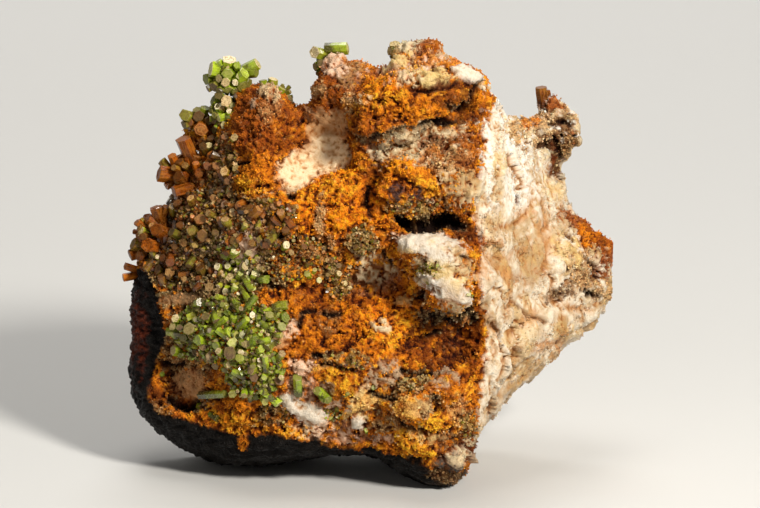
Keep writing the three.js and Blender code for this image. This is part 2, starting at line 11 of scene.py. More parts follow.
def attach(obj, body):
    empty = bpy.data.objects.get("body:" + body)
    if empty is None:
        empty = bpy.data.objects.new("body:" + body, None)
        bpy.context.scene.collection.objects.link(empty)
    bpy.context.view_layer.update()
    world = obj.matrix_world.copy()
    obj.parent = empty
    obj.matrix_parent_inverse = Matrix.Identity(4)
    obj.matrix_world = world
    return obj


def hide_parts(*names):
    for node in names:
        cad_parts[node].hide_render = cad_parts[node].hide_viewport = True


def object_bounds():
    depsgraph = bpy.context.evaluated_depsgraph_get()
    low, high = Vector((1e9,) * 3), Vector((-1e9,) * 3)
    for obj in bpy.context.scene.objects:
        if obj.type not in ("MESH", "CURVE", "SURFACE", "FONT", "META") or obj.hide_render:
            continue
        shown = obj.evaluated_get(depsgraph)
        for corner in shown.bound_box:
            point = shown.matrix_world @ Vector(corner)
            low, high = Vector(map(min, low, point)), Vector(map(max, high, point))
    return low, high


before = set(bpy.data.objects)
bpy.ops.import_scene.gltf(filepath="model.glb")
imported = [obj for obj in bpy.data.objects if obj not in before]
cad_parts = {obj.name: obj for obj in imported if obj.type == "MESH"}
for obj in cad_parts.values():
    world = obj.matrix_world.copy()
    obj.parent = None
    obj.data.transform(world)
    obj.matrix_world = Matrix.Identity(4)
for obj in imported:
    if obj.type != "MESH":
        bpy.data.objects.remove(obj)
cad_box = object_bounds()

MM = 0.001

# The face frame, in millimetres: u to the right, v up along the crystal-bearing face and w towards
# the viewer. The face leans back, and these values carry it onto the floor.
FACE_LEAN = math.radians(14)
LEAN_SIN = math.sin(FACE_LEAN)
LEAN_COS = math.cos(FACE_LEAN)
SEAT_X = 0.5
SEAT_Y = -13.5
FLOOR_LEVEL = 1.6
TOWARDS_VIEWER = np.array([0.0, -LEAN_COS, LEAN_SIN])


def to_world(place):
    u, v, w = np.asarray(place, float).reshape(-1, 3).T
    y = v * LEAN_SIN - w * LEAN_COS + SEAT_Y
    z = v * LEAN_COS + w * LEAN_SIN - FLOOR_LEVEL
    return np.column_stack((u + SEAT_X, y, z)) * MM


def to_face(points):
    x, y, z = (np.asarray(points, float).reshape(-1, 3) / MM).T
    y = y - SEAT_Y
    z = z + FLOOR_LEVEL
    return np.column_stack((x - SEAT_X, y * LEAN_SIN + z * LEAN_COS, z * LEAN_SIN - y * LEAN_COS))


# The camera, the floor and the lights

CAMERA_AIM = (2.2, 51.5, 8.0)
CAMERA_DISTANCE = 1200.0
CAMERA_LENS = 258.4
CAMERA_NEAREST = 0.05

# The backdrop, in metres: a floor that bends up behind the specimen
STAGE_REACH = 4.0
STAGE_DEPTH = 1.8
STAGE_HEIGHT = 2.6
STAGE_BEND = 0.4
BEND_STEPS = 12


def make_camera():
    place = np.array(CAMERA_AIM) + (0, 0, CAMERA_DISTANCE)
    bpy.ops.object.camera_add(
        location=to_world(place)[0], rotation=(math.pi / 2 - FACE_LEAN, 0, 0)
    )
    camera = bpy.context.object
    camera.data.lens = CAMERA_LENS
    camera.data.clip_start = CAMERA_NEAREST
    bpy.context.scene.camera = camera


def only(piece):
    bpy.ops.object.select_all(action="DESELECT")
    piece.select_set(True)
    bpy.context.view_layer.objects.active = piece


def put(tree, kind, inputs=None, **settings):
    made = tree.nodes.new("ShaderNode" + kind)
    for name, value in settings.items():
        setattr(made, name, value)
    for name, value in (inputs or {}).items():
        socket = made.inputs[name]
        if isinstance(value, bpy.types.NodeSocket):
            tree.links.new(value, socket)
        else:
            socket.default_value = value
    return made


def blank_material(name):
    material = bpy.data.materials.new(name)
    material.use_nodes = True
    tree = material.node_tree
    return material, tree, tree.nodes["Principled BSDF"]


def make_stage():
    profile = [(-STAGE_REACH, 0.0), (-1.2, 0.0), (0.3, 0.0)]
    for step in range(BEND_STEPS + 1):
        turn = step / BEND_STEPS * math.pi / 2
        profile.append((STAGE_DEPTH + STAGE_BEND * math.sin(turn), STAGE_BEND * (1 - math.cos(turn))))
    profile.append((STAGE_DEPTH + STAGE_BEND, STAGE_HEIGHT))
    points = [(x, y, z) for y, z in profile for x in (-STAGE_REACH, STAGE_REACH)]
    faces = [(2 * i, 2 * i + 1, 2 * i + 3, 2 * i + 2) for i in range(len(profile) - 1)]
    mesh = bpy.data.meshes.new("backdrop")
    mesh.from_pydata(points, [], faces)
    mesh.shade_smooth()
    backdrop = bpy.data.objects.new("backdrop", mesh)
    bpy.context.scene.collection.objects.link(backdrop)
    material, tree, shader = blank_material("pale_paper")
    towards_back = put(tree, "SeparateXYZ", {"Vector": object_place(tree)}).outputs["Y"]
    paper = ramp(
        tree, fade(tree, towards_back, 0.1, 1.6), (0.0, (0.60, 0.60, 0.59)), (1.0, (0.93, 0.93, 0.92))
    )
    tree.links.new(paper, shader.inputs["Base Color"])
    shader.inputs["Roughness"].default_value = 0.9
    mesh.materials.append(material)


def area_light(name, place, aim, size, power, colour):
    bpy.ops.object.light_add(type="AREA", location=place)
    light = bpy.context.object
    light.name = name
    light.data.shape = "DISK"
    light.data.size = size
    light.data.energy = power
    light.data.color = colour
    away = Vector(place) - Vector(aim)
    light.rotation_euler = away.to_track_quat("Z", "Y").to_euler()


def light_stage():
    middle = (0, 0, 0.045)
    area_light("key", (0.40, -0.55, 0.51), middle, 0.15, 9.2, (1.0, 0.95, 0.87))
    area_light("top", (-0.05, 0.05, 0.85), middle, 0.4, 2.2, (1.0, 0.97, 0.92))
    area_light("fill", (-0.7, -0.8, 0.35), middle, 0.6, 0.5, (1.0, 0.95, 0.88))
    area_light("paper", (0, 1.1, 1.7), (0, 2.1, 0.1), 1.0, 22.0, (1.0, 0.98, 0.95))
    world = bpy.context.scene.world or bpy.data.worlds.new("studio")
    bpy.context.scene.world = world
    world.use_nodes = True
    world.node_tree.nodes["Background"].inputs["Color"].default_value = (1.0, 0.96, 0.9, 1)
    world.node_tree.nodes["Background"].inputs["Strength"].default_value = 0.10
    bpy.context.scene.view_settings.view_transform = "Standard"


make_camera()


# Patterns over the rock, in millimetres


def smoothstep(low, high, value):
    share = np.clip((value - low) / (high - low), 0, 1)
    return share * share * (3 - 2 * share)


def waves(place, size, seed, octaves, stretch=(1, 1, 1)):
    scaled = (place / (np.array(stretch) * size) + seed * 7.31).tolist()
    return np.fromiter((noise.fractal(p, 0.6, 2.0, octaves) for p in scaled), float, len(scaled))


def cells(place, size, seed, stretch=(1, 1, 1)):
    # Rounded cells: distance to the nearest heart, to the cell's edge, the heart, and the way from it.
    scaled = place / (np.array(stretch) * size) + seed * 3.17
    near = np.empty(len(scaled))
    edge = np.empty(len(scaled))
    heart = np.empty((len(scaled), 3))
    for i, p in enumerate(scaled.tolist()):
        distances, hearts = noise.voronoi(p)
        near[i] = distances[0]
        edge[i] = distances[1] - distances[0]
        heart[i] = hearts[0]
    return near, edge, heart, scaled - heart


def random_planes(heart):
    spread = np.sin(heart @ np.array([[12.99, 39.35, 73.16], [78.23, 11.14, 52.24], [37.72, 83.16, 9.15]]))
    return 2 * np.mod(spread * 4375.85, 1) - 1


# Finishes of the rock: linear colour and kind

KINDS = ["ochre", "quartz", "goethite", "earth", "smooth"]
FINISHES = {
    "ochre": ((0.58, 0.165, 0.006), "ochre"),
    "bright_ochre": ((0.84, 0.235, 0.006), "ochre"),
    "yellow_ochre": ((0.84, 0.32, 0.016), "ochre"),
    "rust": ((0.31, 0.070, 0.005), "ochre"),
    "dark_rust": ((0.13, 0.028, 0.004), "ochre"),
    "brown": ((0.19, 0.075, 0.018), "earth"),
    "earth": ((0.15, 0.082, 0.022), "earth"),
    "olive_earth": ((0.22, 0.155, 0.04), "earth"),
    "lime_crust": ((0.55, 0.46, 0.07), "earth"),
    "tan": ((0.56, 0.31, 0.12), "earth"),
    "tan_smooth": ((0.46, 0.26, 0.12), "smooth"),
    "cream_smooth": ((0.82, 0.62, 0.39), "smooth"),
    "milky": ((0.68, 0.60, 0.49), "smooth"),
    "quartz": ((0.77, 0.73, 0.65), "quartz"),
    "cream": ((0.64, 0.51, 0.31), "quartz"),
    "pink_cream": ((0.76, 0.52, 0.36), "quartz"),
    "stained": ((0.42, 0.26, 0.10), "quartz"),
    "yellow_stain": ((0.64, 0.46, 0.18), "quartz"),
    "orange_stain": ((0.48, 0.21, 0.055), "quartz"),
    "grey_quartz": ((0.42, 0.31, 0.20), "quartz"),
    "smoke": ((0.06, 0.042, 0.03), "quartz"),
    "goethite": ((0.004, 0.0025, 0.0015), "goethite"),
    "oxblood": ((0.11, 0.018, 0.004), "goethite"),
    "blue_black": ((0.02, 0.022, 0.035), "goethite"),
    # painted shade for holes, crevices, the cave and the undersides of ledges
    "dark": ((0.02, 0.007, 0.002), "earth"),
}

# Patches of those finishes on the front: u, v, half sizes, turn in degrees and strength. A later
# patch lies over an earlier one; the darkest finish among them is painted shade.
PATCHES = [
    # left flank and pillar
    ("earth", -34, 52, 15, 16, 0, 1.0),
    ("dark_rust", -43, 66, 7, 10, -30, 0.9),
    ("dark_rust", -49, 55, 6, 6, 0, 0.7),
    ("earth", -32, 72, 3.5, 8, 10, 0.9),
    ("rust", -24, 79, 6, 11, 0, 1.0),
    ("ochre", -24, 69, 6, 5, 0, 1.0),
    ("yellow_ochre", -25.5, 66, 4, 2, -10, 0.8),
    ("ochre", -20, 81, 2.5, 2, 0, 0.7),
    ("cream", -21.8, 87, 2.0, 1.8, 20, 0.9),
    ("tan", -22, 84, 2.5, 3.5, 0, 0.4),
    ("grey_quartz", -25.8, 84.3, 1.0, 1.5, 0, 0.8),
    ("rust", -15.5, 81, 4.5, 2.4, 15, 0.9),
    ("brown", -24, 60.5, 6, 3.5, 0, 0.9),
    ("pink_cream", -27.0, 53.0, 3.0, 4.2, 10, 1.0),
    ("pink_cream", -31.4, 55.4, 2.4, 1.4, 30, 0.9),
    ("brown", -17.5, 58, 3.6, 3.6, 0, 0.8),
    # middle
    ("bright_ochre", -7, 61.5, 13, 9, 8, 1.0),
    ("yellow_ochre", -9, 65.5, 8, 2.2, 12, 0.6),
    ("tan", -10.6, 60, 1.3, 3.4, 0, 0.9),
    ("cream", -17.4, 66, 3.2, 0.9, 15, 0.9),
    ("dark", -17.2, 64.1, 1.1, 0.8, 0, 0.95),
    ("olive_earth", -1.5, 54.5, 3.6, 3.2, 0, 0.9),
    ("brown", -11, 52, 6, 3, 0, 0.7),
    ("olive_earth", -7, 45.5, 3, 5, 25, 0.8),
    ("grey_quartz", 0.8, 47.2, 5.2, 4.4, 0, 0.95),
    ("cream", 1.0, 47.6, 4.0, 3.4, 20, 0.8),
    ("ochre", -20.5, 40.6, 4.6, 2.6, -10, 1.0),
    ("ochre", -16.2, 37, 2.2, 4.2, 0, 1.0),
    ("rust", -12, 43, 3.2, 2.2, 0, 0.8),
    ("dark", -9, 38.3, 3.6, 1.0, -8, 0.8),
    ("ochre", -15, 30.6, 5, 2.6, 20, 1.0),
    ("ochre", -9, 34, 5, 3, 0, 1.0),
    ("rust", -8, 38, 8, 4, 0, 0.6),
    ("rust", -6, 31.4, 7, 2, 0, 0.6),
    ("pink_cream", -18.6, 34.8, 2.4, 1.8, 0, 0.9),
    ("tan_smooth", -20.3, 32.2, 2.6, 1.2, 0, 0.8),
    ("dark", -10.6, 29.4, 2.4, 0.8, 10, 0.8),
    ("pink_cream", -14.2, 27.2, 3.4, 1.7, 0, 0.9),
    ("pink_cream", -14.8, 22.4, 3.0, 3.4, 0, 0.7),
    ("rust", -1, 41.5, 5, 2.6, 0, 0.8),
    ("ochre", -2.5, 37, 5.5, 3.8, 0, 1.0),
    ("brown", -8.5, 35.6, 2.4, 2.2, 0, 0.5),
    ("olive_earth", -5.5, 28.6, 4.4, 1.8, 0, 0.8),
    ("yellow_ochre", -5.5, 23.8, 5.6, 3.2, -20, 0.9),
    ("yellow_ochre", -3, 18.5, 5.4, 4.2, 0, 0.95),
    ("pink_cream", -9.4, 22.4, 2.4, 1.2, 10, 0.9),
    ("cream", -5.2, 19.6, 2.0, 1.4, -10, 0.8),
    ("cream", 0.6, 16.6, 2.4, 1.2, 0, 0.8),
    ("cream", -1.4, 22.0, 1.8, 1.0, 20, 0.7),
    ("yellow_ochre", 1.0, 19.6, 3.6, 2.2, 10, 0.8),
    ("cream", -7.5, 18.0, 3.4, 1.6, 10, 0.9),
    ("cream", -1.0, 16.0, 3.0, 1.2, 0, 0.9),
    ("yellow_stain", -3.5, 17.6, 6.0, 4.0, 0, 0.6),
    ("tan", 3.0, 14.4, 4.0, 1.6, 0, 0.8),
    ("yellow_stain", -6.6, 14.2, 4.6, 1.6, -10, 0.7),
    ("grey_quartz", 3.6, 25.2, 4.4, 3.0, 0, 0.9),
    # recess, peak and crown
    ("tan_smooth", -9.8, 79.5, 4.6, 4.6, 10, 1.0),
    ("cream_smooth", -9.8, 73.4, 5.1, 4.2, 10, 1.0),
    ("cream_smooth", -15.6, 70.2, 4.9, 3.7, 20, 1.0),
    ("tan_smooth", -13.6, 74.6, 2.4, 1.2, 30, 0.5),
    ("rust", -8, 88, 6, 5, 0, 1.0),
    ("stained", -4, 91, 5, 3, 0, 0.6),
    ("pink_cream", -7.6, 92.6, 2.3, 2.6, 0, 0.9),
    ("tan", -10.6, 87.3, 1.6, 1.4, 0, 0.7),
    ("tan", -3.6, 83.8, 2.0, 2.4, 0, 0.8),
    ("rust", 3, 90, 5, 3, 0, 0.8),
    ("yellow_ochre", 2.5, 84.4, 5.5, 2.4, 6, 0.9),
    ("cream", -1.8, 85.1, 2.0, 1.0, 0, 0.7),
    ("ochre", 5, 81.4, 7, 2.6, 0, 1.0),
    ("rust", -1.5, 77.5, 4, 4.5, 0, 0.9),
    ("dark", 0.2, 76.4, 3.0, 1.0, 0, 0.7),
    ("grey_quartz", 1.6, 73, 2.2, 3.0, 0, 0.9),
    ("pink_cream", 9, 92.4, 8.5, 3.4, 6, 1.0),
    ("cream", 8.5, 97.2, 4.0, 2.1, 5, 1.0),
    ("rust", 12.4, 96, 2.6, 2.4, 0, 0.95),
    ("stained", 8.5, 92.4, 6.5, 1.8, 6, 0.8),
    ("cream", 15.6, 94.6, 1.6, 1.8, -35, 0.8),
    ("bright_ochre", 4, 88.6, 5, 2.4, 0, 0.95),
    ("yellow_stain", 14, 89.6, 4.8, 2.3, 10, 1.0),
    ("cream", 8.4, 88.6, 2.6, 1.5, 0, 0.9),
    ("yellow_stain", 5.4, 93.8, 3.8, 2.4, 10, 1.0),
    ("yellow_stain", 15.2, 93.6, 2.0, 1.6, 0, 0.9),
    ("ochre", 12.6, 93.4, 2.8, 1.3, -20, 0.8),
    ("yellow_ochre", 8.6, 91.0, 3.6, 0.9, 8, 0.8),
    ("ochre", 17.5, 92.6, 2.6, 1.4, -30, 0.9),
    ("milky", 20.9, 90.6, 3.5, 1.8, -22, 1.0),
    ("ochre", 12.2, 85, 4.6, 1.6, 0, 0.9),
    ("dark_rust", 19, 86.2, 5.6, 2.6, 5, 0.8),
    ("ochre", 23.4, 85.4, 2.2, 1.4, 20, 0.9),
    ("dark_rust", 21, 81.6, 4.4, 1.8, 8, 0.7),
    ("cream", 25.6, 88, 1.2, 1.0, 0, 0.8),
    ("dark", 12, 79.3, 8, 0.9, 8, 0.7),
    # middle ledge
    ("cream", 12, 74.8, 11, 4.0, 8, 1.0),
    ("rust", 13.4, 75.6, 5, 2.0, 12, 0.8),
    ("stained", 7, 74, 3.6, 2.0, 8, 0.8),
    ("rust", 21.6, 76.2, 3.4, 2.4, 0, 0.85),
    ("brown", 17, 74, 4.4, 2.6, 0, 0.6),
    ("cream", 9.8, 77.4, 4.6, 0.9, 10, 0.8),
    ("cream", 8.6, 72.4, 5, 2.2, 0, 0.8),
    ("ochre", 13.4, 72.6, 2.4, 1.4, 20, 0.8),
    ("cream", 16.6, 78.2, 2.6, 1.2, 0, 0.8),
    ("rust", 19.4, 74.4, 3.2, 2.0, 10, 0.9),
    ("stained", 18.4, 71.8, 3.4, 2.0, 10, 0.8),
    ("rust", 15.6, 70.8, 3.0, 1.3, 10, 0.7),
    ("tan", 18, 69.4, 5.2, 3.6, 0, 0.8),
    ("cream", 16.6, 68.2, 2.6, 1.8, 20, 0.8),
    ("rust", 20.6, 71.4, 2.6, 1.4, -20, 0.8),
    ("cream", 20.6, 64.6, 4.6, 3.4, 0, 0.9),
    ("stained", 20.2, 67.0, 3.8, 2.4, 0, 0.8),
    ("stained", 18.6, 63.6, 2.6, 1.4, 0, 0.7),
    ("ochre", 9, 68.4, 6, 2.0, -20, 0.95),
    ("bright_ochre", 6, 69.5, 3.4, 2.4, 0, 0.9),
    ("rust", 0.6, 66, 2.6, 6, 0, 0.7),
    ("olive_earth", 9.6, 62.2, 5.6, 1.8, 0, 0.8),
    ("yellow_ochre", 12.6, 66.4, 3.4, 1.6, -30, 0.8),
    ("blue_black", 5.8, 65.2, 1.9, 1.5, 30, 0.9),
    ("blue_black", 10.0, 64.6, 1.5, 1.5, 0, 0.9),
    ("cream", 12.8, 63.2, 1.8, 0.7, -15, 0.9),
    # the cave under the middle ledge is painted shade, and the rust beside it is partly painted shade
    ("dark", 13, 58.6, 7.5, 1.9, -4, 0.95),
    ("dark_rust", 20.6, 56.2, 4.4, 2.2, -30, 0.9),
    ("rust", 23.6, 53.6, 1.6, 1.6, 0, 0.9),
    # boss and hollow
    ("milky", 12.6, 53.6, 8.0, 2.5, -9, 1.0),
    ("stained", 18.4, 52.0, 2.6, 1.2, -25, 0.8),
    ("yellow_stain", 9.0, 52.4, 3.4, 0.8, -9, 0.6),
    ("cream", 15.6, 47.6, 6.0, 4.4, -15, 1.0),
    ("milky", 13.8, 51.6, 5.0, 1.2, -16, 1.0),
    ("yellow_stain", 14.4, 47.6, 3.8, 3.2, 0, 0.9),
    ("yellow_ochre", 12.6, 47.8, 3.4, 1.5, 10, 0.8),
    ("lime_crust", 13.0, 48.2, 2.8, 1.4, 0, 0.6),
    ("stained", 19.4, 48.6, 3.0, 2.0, 0, 0.6),
    ("milky", 17.2, 44.0, 4.0, 2.2, -15, 1.0),
    ("orange_stain", 15.2, 45.2, 1.2, 0.8, -15, 0.8),
    ("yellow_stain", 19.4, 45.4, 1.6, 1.6, 0, 0.8),
    ("quartz", 13.6, 45.0, 3.2, 1.8, -15, 0.8),
    ("dark_rust", 18.2, 44.6, 1.4, 0.6, -20, 0.9),
    ("orange_stain", 16.0, 44.2, 1.2, 0.6, 10, 0.9),
    ("orange_stain", 18, 41.8, 2.8, 0.8, -10, 0.6),
    ("cream", 17, 40.6, 3.8, 1.4, 8, 0.95),
    ("cream", 10.9, 46.2, 0.9, 1.2, 0, 0.9),
    ("brown", 11.4, 42.4, 1.9, 2.0, 0, 0.85),
    ("rust", 5, 44, 3, 2.6, 0, 0.8),
    ("stained", 7, 41, 2.4, 1.2, 0, 0.7),
    ("bright_ochre", 5, 35.6, 7.5, 5, -20, 1.0),
    ("yellow_ochre", 7, 37.2, 4.2, 1.8, -15, 0.8),
    ("yellow_ochre", 3.6, 33.6, 4.6, 2.4, -20, 0.8),
    ("cream", 2.8, 36, 1.8, 1.7, 0, 0.95),
    # the hollow under the boss: its own rust, deepened by painted shade, with a painted shadow below the boss
    # lump
    ("dark_rust", 16, 32.6, 7.6, 6.8, 0, 0.9),
    ("rust", 12, 30, 5, 2.6, 0, 0.5),
    ("dark", 16.5, 38, 6.4, 2.2, 0, 0.85),
    ("dark", 21.6, 38.2, 2.2, 3.0, 0, 0.9),
    ("rust", 23.2, 32.4, 1.5, 5.0, 0, 0.9),
    ("rust", 23.0, 27.4, 1.6, 1.8, 0, 0.95),
    # lower slope and toe
    ("olive_earth", 9.2, 23.2, 3.8, 1.8, 10, 0.9),
    ("dark", 11.0, 25.6, 3.2, 0.9, 0, 0.8),
    ("grey_quartz", 16.6, 24.4, 3.0, 1.8, 0, 0.8),
    ("dark", 3.6, 20.6, 2.8, 0.8, -5, 0.9),
    ("dark", 14.2, 19.8, 1.7, 1.1, 0, 0.85),
    ("tan", 9.4, 18.8, 4.4, 3.0, 25, 0.75),
    ("yellow_ochre", 7.8, 18.4, 2.0, 2.4, 25, 0.6),
    ("yellow_stain", 11.0, 20.0, 2.0, 1.4, 25, 0.6),
    ("yellow_ochre", 14.6, 15.4, 4.8, 2.2, 0, 0.95),
    ("brown", 4, 14.6, 4.6, 1.6, 0, 0.6),
    ("tan", 19, 17.6, 2.6, 3.4, 0, 0.6),
    ("olive_earth", 21.8, 14, 2.0, 3.0, 20, 0.8),
    ("yellow_ochre", 9.6, 10.4, 5.4, 2.2, -28, 0.95),
    ("brown", 17.6, 11.2, 4.4, 1.8, 0, 0.9),
    ("dark", 9.8, 6.4, 1.4, 0.6, -20, 0.9),
    ("pink_cream", 2.6, 11.2, 3.6, 1.2, 0, 0.7),
    ("dark_rust", 21.4, 8.6, 2.4, 3.8, 0, 1.0),
    ("dark_rust", 15.8, 7.6, 1.6, 1.8, 0, 0.9),
    ("yellow_stain", 11.5, 11.8, 3.4, 1.6, -28, 0.7),
    ("grey_quartz", 18.8, 6.8, 2.7, 2.3, 20, 1.0),
    ("cream", 18.6, 7.6, 2.0, 1.4, 20, 0.9),
    ("smoke", 17.0, 3.0, 4.2, 3.0, 10, 1.0),
    ("cream", 13.8, 2.6, 0.9, 1.4, 10, 0.7),
    ("cream", 22.4, 10.6, 1.8, 1.2, 0, 0.9),
    # lower left
    ("brown", -41, 29, 7, 6, 0, 0.9),
    ("tan_smooth", -41.5, 41.6, 5, 1.1, 3, 0.8),
    ("tan_smooth", -40, 22.6, 4.2, 3.6, 0, 0.75),
    ("ochre", -47.8, 24.2, 1.3, 3.0, -25, 0.95),
    ("dark_rust", -44.4, 20.4, 3.6, 2.4, 0, 0.8),
    ("dark", -38, 18, 4, 1.4, 10, 0.9),
    ("brown", -46.4, 17.2, 3, 1.4, -25, 0.8),
    ("ochre", -28.5, 16.8, 4.4, 5.2, 0, 1.0),
    ("yellow_ochre", -28, 14.6, 5.5, 2.6, 0, 0.8),
    ("yellow_ochre", -20.4, 13.0, 7, 1.7, -10, 0.9),
    ("earth", -21.2, 16.4, 4.0, 2.8, 0, 0.85),
    ("cream", -12.4, 13.4, 4.4, 2.6, 0, 0.9),
    ("milky", -17.2, 18.7, 3.5, 2.0, -42, 1.0),
    ("milky", -13.2, 16.5, 4.0, 2.3, -15, 1.0),
    ("pink_cream", -7.6, 18.3, 2.8, 1.6, 0, 0.9),
    ("pink_cream", -7.6, 12.4, 5.0, 2.6, 0, 0.9),
    ("rust", -5.2, 13.8, 1.2, 0.8, 0, 0.8),
    ("milky", -2.6, 14.6, 1.6, 1.6, 0, 1.0),
    ("smoke", -0.8, 11.8, 3.2, 1.0, -5, 0.7),
    # quartz flank
    ("quartz", 29.5, 73, 4.6, 12, 4, 1.0),
    ("quartz", 34, 66, 3.0, 6, -8, 0.8),
    ("yellow_stain", 32, 79, 2.4, 2.6, 0, 0.7),
    ("yellow_stain", 28.6, 71.4, 1.4, 2.4, 0, 0.7),
    ("stained", 28.0, 64.4, 1.2, 5.0, 4, 0.6),
    ("stained", 33.2, 56.6, 4.6, 3.2, 20, 0.7),
    ("orange_stain", 38.4, 56.4, 2.4, 3.6, 0, 0.6),
    ("orange_stain", 33.4, 60.6, 1.6, 1.4, 0, 0.6),
    ("dark_rust", 32.2, 63.2, 0.6, 1.0, 0, 0.95),
    ("yellow_stain", 40.2, 66, 1.8, 3.6, 20, 0.5),
    ("orange_stain", 29.6, 47.6, 0.8, 5.6, 14, 0.7),
    ("orange_stain", 24.6, 47.4, 1.4, 2.6, 0, 0.6),
    ("grey_quartz", 34.4, 46.4, 3.8, 2.8, 0, 0.45),
    ("stained", 26.2, 37.0, 1.4, 3.6, 25, 0.7),
    ("orange_stain", 34.6, 37, 2.0, 3.0, -20, 0.6),
    ("stained", 34, 25.4, 4.4, 3.6, 25, 0.75),
    ("orange_stain", 38.6, 31.4, 3.8, 1.0, 18, 0.7),
    ("brown", 42.4, 43.0, 3.2, 1.8, 20, 0.75),
    ("yellow_stain", 42.4, 53, 2.4, 3.6, 0, 0.7),
    ("stained", 41.6, 58, 2.6, 2.6, 0, 0.6),
    ("grey_quartz", 47.4, 46, 3.0, 3.0, 0, 0.7),
    ("stained", 47, 52.4, 3.6, 2.4, 0, 0.6),
    ("tan", 46.6, 50, 3.4, 6.0, 15, 0.85),
    ("yellow_stain", 45.2, 52.6, 1.8, 3.0, 10, 0.8),
    ("rust", 45.8, 58, 3.6, 1.9, -38, 0.95),
    ("ochre", 50.8, 55.2, 4.8, 3.0, -22, 1.0),
    ("rust", 52.4, 51, 3.0, 5.4, 5, 0.95),
    ("rust", 49.4, 57.4, 2.6, 1.2, -22, 0.9),
    ("tan", 51.6, 43, 2.4, 2.4, 0, 0.85),
    ("dark", 48.6, 42.8, 1.6, 1.0, -20, 0.9),
    # arm
    ("tan", 39, 80, 8, 5, 0, 0.9),
    ("ochre", 35.6, 80.4, 2.6, 1.4, 25, 0.9),
    ("rust", 40.6, 84.6, 2.4, 1.4, -20, 0.95),
    ("cream", 41.6, 82.6, 2.2, 1.2, -15, 0.9),
    ("brown", 43.4, 81.6, 2.2, 1.4, 0, 0.9),
    ("dark_rust", 43.0, 80.2, 2.6, 0.9, 10, 0.8),
    ("cream", 37.4, 78.4, 3.0, 1.2, 10, 0.8),
    ("rust", 44.6, 77.4, 2.0, 1.8, 0, 0.95),
    ("dark_rust", 42.0, 73, 2.6, 5.2, 0, 1.0),
    ("brown", 44.6, 73, 3.0, 6.0, 0, 1.0),
    ("cream", 38.8, 73.6, 1.3, 3.2, 0, 0.85),
    ("dark_rust", 38.2, 86.4, 1.6, 3.0, 0, 0.9),
]

# The quartz flank begins right of this line down the face, given as v and u.
FLANK_EDGE_V = [-5, 10, 19, 27, 35, 43, 52, 60, 66, 72, 80, 85, 100]
FLANK_EDGE_U = [22, 22.2, 24.2, 25, 25.8, 24, 24.4, 22, 23, 25.4, 25.8, 26.4, 27]

# The goethite rind lies left of one line and below another, given as v and u, then as u and v.
RIND_SIDE_V = [0, 14, 20, 27, 33, 38, 44, 48, 52]
RIND_SIDE_U = [-40, -46, -49, -47.5, -45, -45.5, -47.5, -50, -60]
RIND_UNDER_U = [-56, -48, -42, -35, -29, -23, -13, -5, 2, 6.6, 12, 17, 22]
RIND_UNDER_V = [19, 16.5, 15.5, 13.6, 11.4, 12.4, 10.2, 9.2, 9.0, 7.6, 5.0, 4.0, 2.6]
